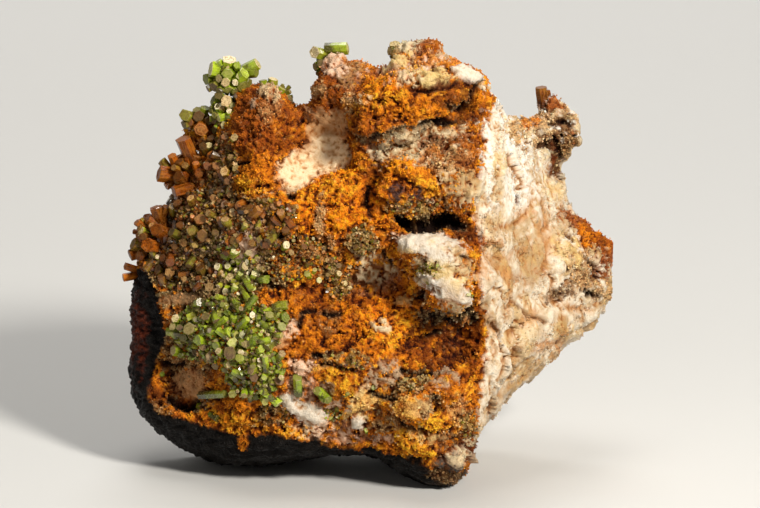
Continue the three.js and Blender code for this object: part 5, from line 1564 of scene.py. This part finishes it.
LEDGE_CRYSTALS = [
    (12.9, 49.4, 0.5, 0.0, 0.5, 0.95, 0.5, 1.0), (12.2, 47.4, 0.45, -0.4, -0.2, 0.95, 0.5, 1.0),
    (11.4, 48.8, 0.45, -0.5, 0.2, 0.95, 0.55, 0.9), (14.6, 49.2, 0.45, 0.4, 0.3, 0.95, 0.6, 1.0),
    (13.7, 47.3, 0.5, 0.1, -0.5, 0.9, 0.55, 1.0), (12.6, 45.2, 0.45, -0.3, 0.2, 0.8, 0.8, 0.7),
    (21.2, 42.8, 0.6, 0.3, 0.2, 0.7, 0.9, 0.5),
]
GREEN_DRUSE = [
    (-35.0, 29.2, 1.5, 0.2, 0.1, 0.5, 0.7, 1.0), (-30.2, 29.5, 1.6, -0.1, 0.1, 0.35, 0.7, 1.0),
    (-36.4, 31.2, 0.9, -0.3, 0.1, 0.5, 0.6, 1.0), (-42.6, 37.0, 1.0, -0.4, 0.5, 0.85, 0.8, 1.0),
    (-39.4, 34.8, 1.5, -0.2, 0.3, 0.5, 0.75, 0.8), (-40.6, 33.2, 1.0, -0.6, 0.0, 0.3, 0.8, 0.7),
    (-38.2, 36.6, 0.9, 0.3, 0.6, 0.4, 0.8, 0.7), (-29.4, 37.2, 1.3, 0.5, 1.4, 0.75, 1.0, 0.1),
    (-31.6, 34.2, 1.3, 1.1, 0.3, 0.8, 1.0, 0.2), (-34.4, 34.0, 1.4, -0.8, 0.7, 0.75, 1.0, 0.1),
    (-36.6, 32.6, 1.2, -1.2, 0.2, 0.6, 1.0, 0.2), (-29.9, 31.8, 1.3, 0.2, 0.5, 0.85, 0.95, 0.5),
    (-27.4, 36.2, 1.1, 0.9, 0.9, 0.7, 1.0, 0.2), (-25.0, 33.5, 1.2, 0.3, -0.6, 0.2, 0.9, 0.3),
    (-24.0, 30.6, 1.0, 0.6, 0.2, 0.85, 0.95, 0.2), (-26.4, 31.6, 1.0, -0.2, 0.4, 0.6, 0.85, 0.9),
    (-33.2, 31.6, 1.1, -0.5, -0.4, 0.5, 0.95, 0.3), (-27.8, 33.8, 1.0, 0.4, 0.2, 0.55, 0.9, 0.6),
    (-25.4, 24.6, 1.1, 0.2, 0.2, 0.3, 0.4, 0.9), (-20.0, 23.8, 1.2, 0.3, 0.2, 0.4, 0.4, 1.0),
    (-21.8, 25.8, 0.9, 0.5, 0.8, 0.6, 0.9, 0.4), (-24.0, 27.2, 0.8, 0.1, 0.4, 0.9, 0.9, 0.8),
    (-27.4, 29.4, 0.9, 0.2, -0.3, 0.4, 0.9, 0.5), (-22.0, 31.0, 1.0, 1.0, 0.2, 0.5, 0.95, 0.3),
    (-25.6, 38.2, 0.8, 0.2, 0.3, 1.0, 0.85, 1.0), (-18.8, 38.0, 1.1, 0.6, -0.2, 0.2, 0.8, 0.2),
    (-29.6, 51.8, 1.3, 0.5, 0.8, 0.95, 0.9, 0.7), (-31.6, 51.0, 0.9, -0.6, 0.6, 0.7, 0.95, 0.3),
    (-27.2, 48.8, 1.2, 0.2, 0.2, 0.75, 0.75, 1.0), (-30.4, 46.1, 1.2, -0.2, 0.1, 0.8, 0.75, 1.0),
    (-24.4, 48.4, 0.9, 0.5, 0.3, 0.6, 0.6, 1.0), (-23.4, 46.0, 1.1, 0.9, -0.2, 0.25, 0.85, 0.2),
    (-28.6, 49.8, 0.8, -0.3, 0.7, 0.8, 0.9, 0.6), (-32.4, 38.0, 1.0, -0.7, 0.8, 0.6, 0.9, 0.5),
    (-35.6, 37.4, 1.1, -0.4, 0.5, 0.4, 0.8, 0.9), (-37.6, 39.4, 0.8, -0.2, 0.8, 0.55, 0.8, 0.9),
    (-33.8, 27.2, 0.9, -0.2, -0.2, 0.5, 0.6, 1.0), (-31.8, 26.4, 0.8, 0.4, -0.4, 0.3, 0.8, 0.6),
    (-38.0, 29.6, 0.9, -0.4, 0.2, 0.25, 0.6, 0.9), (-26.6, 51.6, 0.8, 0.4, 0.4, 0.6, 0.7, 0.9),
    (-30.6, 52.8, 1.0, 0.7, 1.0, 1.0, 0.9, 0.4), (-32.8, 52.6, 0.8, -0.3, 1.2, 1.0, 0.85, 0.6),
    (-28.4, 46.6, 1.1, 0.9, 0.8, 1.0, 0.9, 0.3), (-26.6, 45.6, 1.0, -0.6, 0.9, 1.0, 0.95, 0.4),
    (-29.4, 43.8, 1.0, 0.4, 1.1, 0.9, 0.85, 0.5), (-25.0, 46.8, 1.1, 0.3, 0.9, 1.0, 0.8, 0.7),
    (-30.8, 48.4, 0.9, -0.7, 0.7, 0.95, 0.8, 0.8), (-25.8, 44.0, 0.8, 0.8, 0.4, 0.95, 0.9, 0.4),
]
# root, free end, radius, rise over the crust, tone, hue, dusty end
GREEN_LYING = [
    (-27.6, 38.4, -24.8, 42.2, 0.75, 1.0, 0.3, 0.92, 0.3),
    (-19.6, 39.2, -24.2, 39.4, 0.65, 0.9, 0.85, 0.85, 0.6),
    (-22.4, 25.8, -22.8, 29.4, 0.85, 1.0, 0.85, 0.85, 0.7),
    (-27.4, 24.8, -30.0, 26.2, 0.9, 0.9, 0.85, 1.0, 0.3),
    (-28.6, 44.6, -26.4, 41.6, 0.6, 0.9, 0.5, 0.8, 0.5),
    (-27.8, 46.6, -25.8, 43.6, 0.7, 1.1, 0.45, 0.85, 0.4),
    (-31.0, 43.4, -29.2, 40.6, 0.75, 0.8, 0.3, 0.9, 0.3),
    (-22.0, 34.6, -23.6, 37.0, 0.7, 0.9, 0.3, 0.9, 0.6),
    (-33.8, 35.6, -31.4, 37.6, 0.8, 1.2, 0.8, 1.0, 0.2),
    (-36.0, 34.6, -38.4, 32.4, 0.8, 0.9, 0.7, 1.0, 0.3),
    (-18.0, 49.6, -17.0, 45.6, 0.5, 0.6, 0.3, 0.85, 0.5),
    (-31.2, 33.2, -33.4, 35.0, 0.8, 1.6, 0.75, 1.0, 0.2),
    (-28.6, 35.6, -26.6, 37.4, 0.75, 1.4, 0.8, 1.0, 0.3),
    (-24.2, 32.4, -21.6, 33.0, 0.75, 1.2, 0.7, 0.95, 0.4),
]
BROWN_DRUSE = [
    (-43.8, 47.4, 1.3, -0.2, 0.2, 0.6, 0.3, 1.0), (-40.8, 46.2, 0.85, -0.1, 0.1, 0.65, 0.4, 1.0),
    (-38.8, 46.6, 0.75, 0.2, 0.2, 0.8, 0.4, 1.0), (-39.0, 44.6, 0.6, -0.2, 0.0, 0.75, 0.5, 1.0),
    (-35.2, 44.2, 1.1, 0.1, -0.1, 0.55, 0.5, 1.0), (-35.6, 48.6, 0.7, 0.2, 0.2, 0.8, 0.5, 1.0),
    (-37.6, 49.2, 0.7, -0.3, 0.3, 0.8, 0.5, 1.0), (-33.4, 49.2, 0.9, 0.2, 0.4, 0.85, 0.6, 1.0),
    (-36.6, 51.2, 0.8, 0.0, 0.4, 0.7, 0.5, 1.0), (-37.2, 58.6, 1.4, 0.3, 0.5, 0.55, 0.2, 0.9),
    (-36.4, 55.6, 1.5, -0.3, -0.2, 0.45, 0.3, 0.5), (-33.8, 55.4, 1.2, 0.5, 0.1, 0.35, 0.45, 0.7),
    (-40.6, 54.0, 1.0, -0.4, 0.0, 0.6, 0.3, 1.0), (-42.6, 53.2, 0.8, -0.4, -0.2, 0.5, 0.25, 0.9),
    (-41.4, 57.4, 1.1, -0.6, 0.8, 0.3, 0.2, 0.4), (-42.4, 62.2, 1.0, -0.2, 0.6, 0.4, 0.25, 0.9),
    (-40.0, 61.4, 0.8, 0.2, 0.4, 0.5, 0.35, 0.9), (-27.2, 57.6, 0.9, 0.7, 1.0, 0.8, 0.6, 0.5),
    (-29.2, 55.6, 0.8, -0.2, 0.3, 0.6, 0.5, 0.9), (-23.4, 52.8, 0.8, 0.3, 0.4, 0.9, 0.4, 1.0),
    (-25.4, 53.8, 0.9, -0.3, 0.2, 0.6, 0.3, 0.9), (-32.0, 62.0, 1.0, 0.3, 0.2, 0.3, 0.3, 0.7),
    (-35.0, 66.6, 1.0, 0.3, 0.4, 0.4, 0.2, 0.9), (-33.6, 68.8, 0.9, 0.0, 0.5, 0.5, 0.25, 1.0),
    (-32.8, 65.4, 0.9, -0.2, 0.2, 0.5, 0.3, 1.0), (-39.6, 50.0, 0.9, -0.2, 0.1, 0.5, 0.4, 1.0),
    (-45.4, 50.6, 1.0, -0.6, 0.1, 0.3, 0.2, 0.8), (-21.0, 61.4, 0.8, 0.2, 0.3, 0.5, 0.3, 1.0),
    (-23.2, 58.4, 0.7, 0.4, 0.5, 0.6, 0.3, 1.0), (-18.2, 56.4, 0.9, 0.1, 0.3, 0.4, 0.25, 0.9),
    (-33.6, 70.6, 1.1, 0.1, 0.2, 0.5, 0.2, 1.0), (-30.6, 74.6, 1.0, 0.3, 0.3, 0.4, 0.3, 0.9),
    (-29.8, 76.8, 0.9, 0.2, 0.4, 0.6, 0.6, 0.9), (-31.0, 67.6, 1.0, 0.2, 0.1, 0.4, 0.3, 0.9),
    (-29.4, 70.2, 0.9, 0.3, 0.2, 0.6, 0.6, 0.8), (-34.2, 76.2, 1.0, -0.3, 0.3, 0.4, 0.15, 1.0),
    (-32.0, 76.8, 0.9, 0.1, 0.4, 0.5, 0.2, 1.0), (-30.4, 72.4, 0.9, 0.2, 0.2, 0.5, 0.5, 0.9),
    (-35.6, 70.6, 1.1, -0.1, 0.2, 0.4, 0.1, 0.8), (-34.4, 63.6, 0.9, 0.1, 0.2, 0.5, 0.3, 0.9),
    (-38.8, 63.8, 1.0, -0.1, 0.2, 0.4, 0.3, 0.9), (-30.6, 64.4, 0.8, 0.1, 0.2, 0.5, 0.3, 0.9),
]
SCATTERED = [
    (-18.5, 53.2, 1.0, 0.2, 0.3, 0.95, 0.85, 0.9), (-17.2, 51.8, 0.7, 0.3, 0.1, 0.6, 0.5, 0.9),
    (-13.4, 46.8, 0.8, -0.3, 0.5, 0.8, 0.9, 0.5), (-11.2, 45.8, 0.7, 0.3, 0.2, 0.9, 0.9, 0.6),
    (-12.2, 47.6, 0.6, 0.2, 0.8, 0.8, 0.85, 0.8), (-14.6, 53.0, 0.8, 0.4, 0.3, 0.4, 0.3, 0.9),
    (-12.6, 52.6, 0.7, -0.2, 0.3, 0.5, 0.25, 1.0), (-6.8, 47.0, 0.7, 0.2, 0.4, 0.85, 0.6, 0.9),
    (-5.6, 45.0, 0.7, 0.5, 0.2, 0.9, 0.65, 0.8), (-4.6, 43.8, 0.6, 0.3, 0.3, 0.85, 0.6, 0.9),
    (-8.2, 29.2, 0.45, 0.6, 0.9, 0.7, 0.8, 0.6), (-3.4, 27.6, 0.5, -0.8, 0.9, 0.6, 0.7, 0.9),
    (-1.6, 26.6, 0.5, 0.9, 0.6, 0.7, 0.65, 0.9), (-5.0, 21.0, 0.5, 0.7, 0.6, 0.5, 0.8, 0.6),
    (-8.6, 15.6, 0.6, -0.4, 0.4, 0.9, 0.95, 0.3), (-7.2, 17.4, 0.6, 0.3, 0.6, 0.9, 0.95, 0.4),
    (-0.8, 12.8, 0.5, 0.1, 0.6, 1.0, 0.95, 0.3), (0.8, 22.4, 0.6, 0.2, 0.4, 0.6, 0.9, 0.4),
    (7.8, 24.0, 0.7, -0.2, 0.8, 0.7, 0.7, 0.8), (9.6, 22.8, 0.7, 0.4, 0.4, 0.6, 0.65, 0.9),
    (6.4, 22.0, 0.7, -0.5, 0.2, 0.7, 0.65, 0.9), (-46.0, 24.8, 0.6, -0.3, 0.2, 0.15, 0.9, 0.2),
]
GREEN_AREAS = [(-30.8, 34.8, 11.5, 7.6), (-25.4, 26, 6.4, 6.6), (-38.5, 34, 5, 6), (-21, 37.6, 3.4, 2.6)]
# bare quartz where no crystal grows: u, v and radius
BARE = [(-26.4, 53.2, 3.0), (-25.0, 56.2, 2.0)]
TONGUE_AREAS = [(-28.4, 47.6, 4.4, 5.6)]
BROWN_AREAS = [
    (-40.5, 50.5, 9, 7), (-36.5, 60.5, 9, 5.5), (-27, 57, 7, 6), (-21.5, 60, 5.5, 3.6), (-32.4, 71, 3.6, 7),
]
SCATTERED_AREAS = [(-17, 51, 8, 5), (-7, 46, 3, 5), (-1.5, 54.5, 3.4, 3)]
LIME_AREAS = [(12.6, 48.0, 3, 1.5), (-8, 16.4, 2.2, 1.6), (21.2, 42.8, 1.2, 1)]
DRAB_AREAS = [
    (9.2, 23.2, 3.8, 2), (9.4, 62, 5.4, 2), (-4.5, 28, 4.4, 1.8), (21.6, 14, 2, 3), (-21, 16.4, 4, 2.4),
]


def lying(rows, start):
    # Druse crystals that lie: root, free end, radius, rise over the crust, tone, hue, dusty end.
    made = []
    for i, (root_u, root_v, end_u, end_v, radius, rise, tone, hue, ends) in enumerate(rows):
        root = surface_at(root_u, root_v)[0] + (0, 0, rise - 0.4)
        end = surface_at(end_u, end_v)[0] + (0, 0, rise)
        length, turn = np.linalg.norm(end - root), hash_of(start + i) * 2
        made.append(crystal(root, end - root, radius, length, turn, tone, hue, ends, i % 4))
    return made


def spots(rows):
    return [row[:3] for row in rows]


crystal_piece(
    "crest_group",
    by_hand(CREST, 11) + filling((-30.4, 90.2, 1), 4.9, 46, 12, (0.4, 0.85), (0.6, 1.0)),
    GREEN, "crest_crystals",
)
crystal_piece(
    "neck_group",
    by_hand(NECK, 23) + filling((-31.6, 82.2, 2), 4.5, 60, 24, (0.4, 0.85), (0.3, 0.95)),
    GREEN, "neck_crystals",
)
crystal_piece(
    "left_tip_group",
    by_hand(LEFT_TIP, 37) + filling((-38.2, 80.8, -2), 3.9, 30, 38, (0.4, 0.8), (0.0, 0.7)),
    OLIVE, "left_tip_crystals",
)
crystal_piece(
    "rear_crest_group",
    by_hand(REAR_CREST, 51) + filling((-20.2, 86.0, -4), 4.0, 20, 52, (0.4, 0.8), (0.4, 0.9)),
    OLIVE, "rear_crest_crystals",
)
crystal_piece(
    "amber_group",
    by_hand(AMBER_PRISMS, 60) + filling((-39.5, 69.0, 0.5), 6.2, 56, 61, (0.5, 1.1), (0.0, 0.35)),
    AMBER, "amber_prisms",
)
crystal_piece(
    "shoulder_group",
    by_hand(SHOULDER_PRISMS, 70) + filling((-48.2, 55.8, -1.5), 5.4, 40, 71, (0.5, 1.0), (0.0, 0.4)),
    AMBER, "shoulder_prisms",
)
crystal_piece("rim_group", laid(RIM_PRISMS, 80, 0.7, 0.05), AMBER, "rim_prisms")
crystal_piece(
    "peak_group",
    by_hand(PEAK_PRISMS, 90) + filling((-9.6, 92.6, 0.6), 3.4, 16, 91, (0.35, 0.6), (0.6, 1.0)),
    GREEN, "peak_prisms",
)
crystal_piece(
    "summit_group",
    by_hand(SUMMIT_PRISMS, 95) + filling((6.6, 96.2, 1.2), 3.0, 10, 96, (0.3, 0.55), (0.6, 0.9)),
    GREEN, "summit_prisms",
)
crystal_piece("arm_crystal", laid(ARM_PRISM, 97, 0.25, 0.2, 0.3), AMBER, "arm_prism")
crystal_piece("sill_crystal", laid(seated(SILL_PRISM), 101, 0.4, 0.85), GREEN, "sill_prism")
crystal_piece(
    "rim_edge_crystal", laid(seated(RIM_EDGE_PRISM), 103, 0.5, 0.85), GREEN, "rim_edge_prism"
)
crystal_piece(
    "upright_crystal", laid(seated(UPRIGHT_PRISM), 105, 0.5, twins=False), GREEN, "upright_prism"
)
crystal_piece("lying_group", laid(seated(LYING_PRISMS), 107, 0.9), GREEN, "lying_prisms")
crystal_piece("twin_group", laid(seated(TWIN_PRISMS), 109, 0.55), GREEN, "twin_prisms")
ledge_heart = surface_at(13.2, 48.2)[0] + (0, 0, 0.2)
crystal_piece(
    "ledge_group",
    standing(LEDGE_CRYSTALS, 83) + filling(ledge_heart, 1.6, 20, 84, (0.18, 0.32), (0.4, 0.6)),
    GREEN, "ledge_crystals",
)
green_seats = spots(GREEN_DRUSE) + [((a + c) / 2, (b + d) / 2, 1.1) for a, b, c, d, *_ in GREEN_LYING]
crystal_piece(
    "green_druse_crystals",
    standing(GREEN_DRUSE, 5) + lying(GREEN_LYING, 6)
    + grown_over(TONGUE_AREAS, 60, (0.45, 1.15), (1.2, 3.0), 6, (0.9, 1.0), (0.5, 0.85), (1.0, 1.6), lean=0.9,
                 spacing=0.8, taken=green_seats + BARE)
    + grown_over(GREEN_AREAS, 300, (0.4, 1.1), (1.2, 2.8), 1, (0.0, 0.9), (0.6, 1.0), (0.0, 1.4), lean=1.1,
                 spacing=0.68, taken=green_seats),
    GREEN, "green_druse",
)
crystal_piece(
    "brown_druse_crystals",
    standing(BROWN_DRUSE, 7)
    + grown_over(BROWN_AREAS, 380, (0.3, 1.2), (1.0, 3.2), 2, (0.0, 1.0), (0.0, 0.6), (0.2, 1.5), lean=1.6,
                 spacing=0.7, taken=spots(BROWN_DRUSE) + BARE),
    OLIVE, "brown_druse",
)
crystal_piece(
    "green_grit",
    grown_over(GREEN_AREAS + LIME_AREAS, 900, (0.16, 0.42), (1.0, 3.0), 3, (0.2, 1.0), (0.4, 1.0), (0.0, 1.2),
               (-1,), 0.9, 0.6),
    GREEN,
)
crystal_piece(
    "brown_grit",
    grown_over(BROWN_AREAS + SCATTERED_AREAS + DRAB_AREAS, 1300, (0.15, 0.42), (1.0, 3.0), 4, (0.0, 1.0),
               (0.0, 0.6), (0.2, 1.5), (-1,), 0.9, 0.6, taken=BARE[:1], darker=1.5),
    OLIVE,
)
crystal_piece(
    "scattered_crystals",
    standing(SCATTERED, 9)
    + grown_over(SCATTERED_AREAS, 70, (0.3, 0.7), (0.8, 2.2), 5, (0.2, 1.0), (0.3, 0.9), (0.4, 1.4),
                 spacing=1.3, taken=spots(SCATTERED)),
    OLIVE,
)


# Loose grains of the crusts, joined in a few pieces


def model_lump(seed):
    # A three-sided chip of uneven corners.
    bpy.ops.object.select_all(action="DESELECT")
    bpy.ops.mesh.primitive_cylinder_add(vertices=3, radius=1.1, depth=1.5)
    shape = bpy.context.object
    bpy.ops.object.mode_set(mode="EDIT")
    bpy.ops.mesh.select_all(action="SELECT")
    bpy.ops.mesh.quads_convert_to_tris()
    bpy.ops.object.mode_set(mode="OBJECT")
    points, faces = taken_apart(shape)
    random = np.random.default_rng(seed)
    points = points * random.uniform(0.7, 1.4, (len(points), 1))
    points = points + random.uniform(-0.25, 0.25, (len(points), 3))
    return points * random.uniform((0.6, 0.7, 0.9), (0.9, 1.0, 1.3)), np.array(faces)


LUMPS = [model_lump(seed) for seed in range(6)]


def turned(random, count):
    frames = random.normal(size=(count, 3, 3))
    first = frames[:, 0] / np.linalg.norm(frames[:, 0], axis=1)[:, None]
    second = frames[:, 1] - (frames[:, 1] * first).sum(1)[:, None] * first
    second /= np.linalg.norm(second, axis=1)[:, None]
    return np.stack((first, second, np.cross(first, second)), 1)


def crumb_piece(name, share, count, radii, seed, mineral, brighten, sink=0.25):
    random = np.random.default_rng(seed)
    share = share / share.sum()
    chosen = random.choice(len(share), count, p=share)
    radius = between(*radii, random.uniform(size=count) ** 2) * MM
    hearts = rock_points[chosen] + rock_normals[chosen] * (radius * (1 - 2 * sink))[:, None]
    hearts += random.uniform(-0.15, 0.15, (count, 3)) * MM
    frames = turned(random, count)
    forms = random.integers(0, len(LUMPS), count)
    corners, sides = LUMPS[0][0].shape[0], LUMPS[0][1].shape[0]
    points = np.empty((count, corners, 3))
    faces = np.empty((count, sides, 3), int)
    for number, (lump, lump_faces) in enumerate(LUMPS):
        these = forms == number
        points[these] = np.einsum("pi,nij->npj", lump, frames[these]) * radius[these][:, None, None]
        faces[these] = lump_faces
    points += hearts[:, None, :]
    faces += (np.arange(count) * corners)[:, None, None]
    piece = new_piece(name, points.reshape(-1, 3), faces.reshape(-1, 3).tolist())
    light = random.uniform(*brighten, (count, 1))
    warm = random.uniform(0.88, 1.2, (count, 1)) ** np.array([[0.0, 1.0, 1.6]])
    tint = np.clip(rock_tint[chosen] * light * warm, 0, 0.93)
    set_attribute(piece.data, "tint", "FLOAT_COLOR", with_alpha(np.repeat(tint, corners, axis=0)))
    finish_piece(piece, *mineral)


# Where the grains lie: on the front, more on the high ground, and the sugar also beside the crusts
ochre, quartz, earth = (rock_kind[name] for name in ("ochre", "quartz", "earth"))
seen = rock_front ** 2
proud = 0.25 + smoothstep(0.3, 0.7, rock_relief)
loose = 0.3 + smoothstep(-0.1, 0.3, waves(rock_place, 3.0, 41, 3))
near_crusts = 1.5 * smoothstep(0.1, 0.9, ochre + earth)
sugared = 0.1 + smoothstep(0.05, 0.35, waves(rock_place, 7.0, 19, 2)) + near_crusts
crumb_piece(
    "ochre_crumbs_a", ochre * seen * proud, 24000, (0.06, 0.17), 11, OCHRE_CRUMBS, (0.8, 1.15)
)
crumb_piece(
    "ochre_crumbs_b", ochre * seen * proud * loose, 24000, (0.07, 0.21), 12, OCHRE_CRUMBS, (0.75, 1.2)
)
crumb_piece("earth_crumbs", earth * seen * proud, 20000, (0.08, 0.26), 13, EARTH_CRUMBS, (0.6, 1.6))
crumb_piece("quartz_crumbs", quartz * seen * sugared, 16000, (0.07, 0.18), 14, QUARTZ_CRUMBS,
            (0.85, 1.08), 0.4)
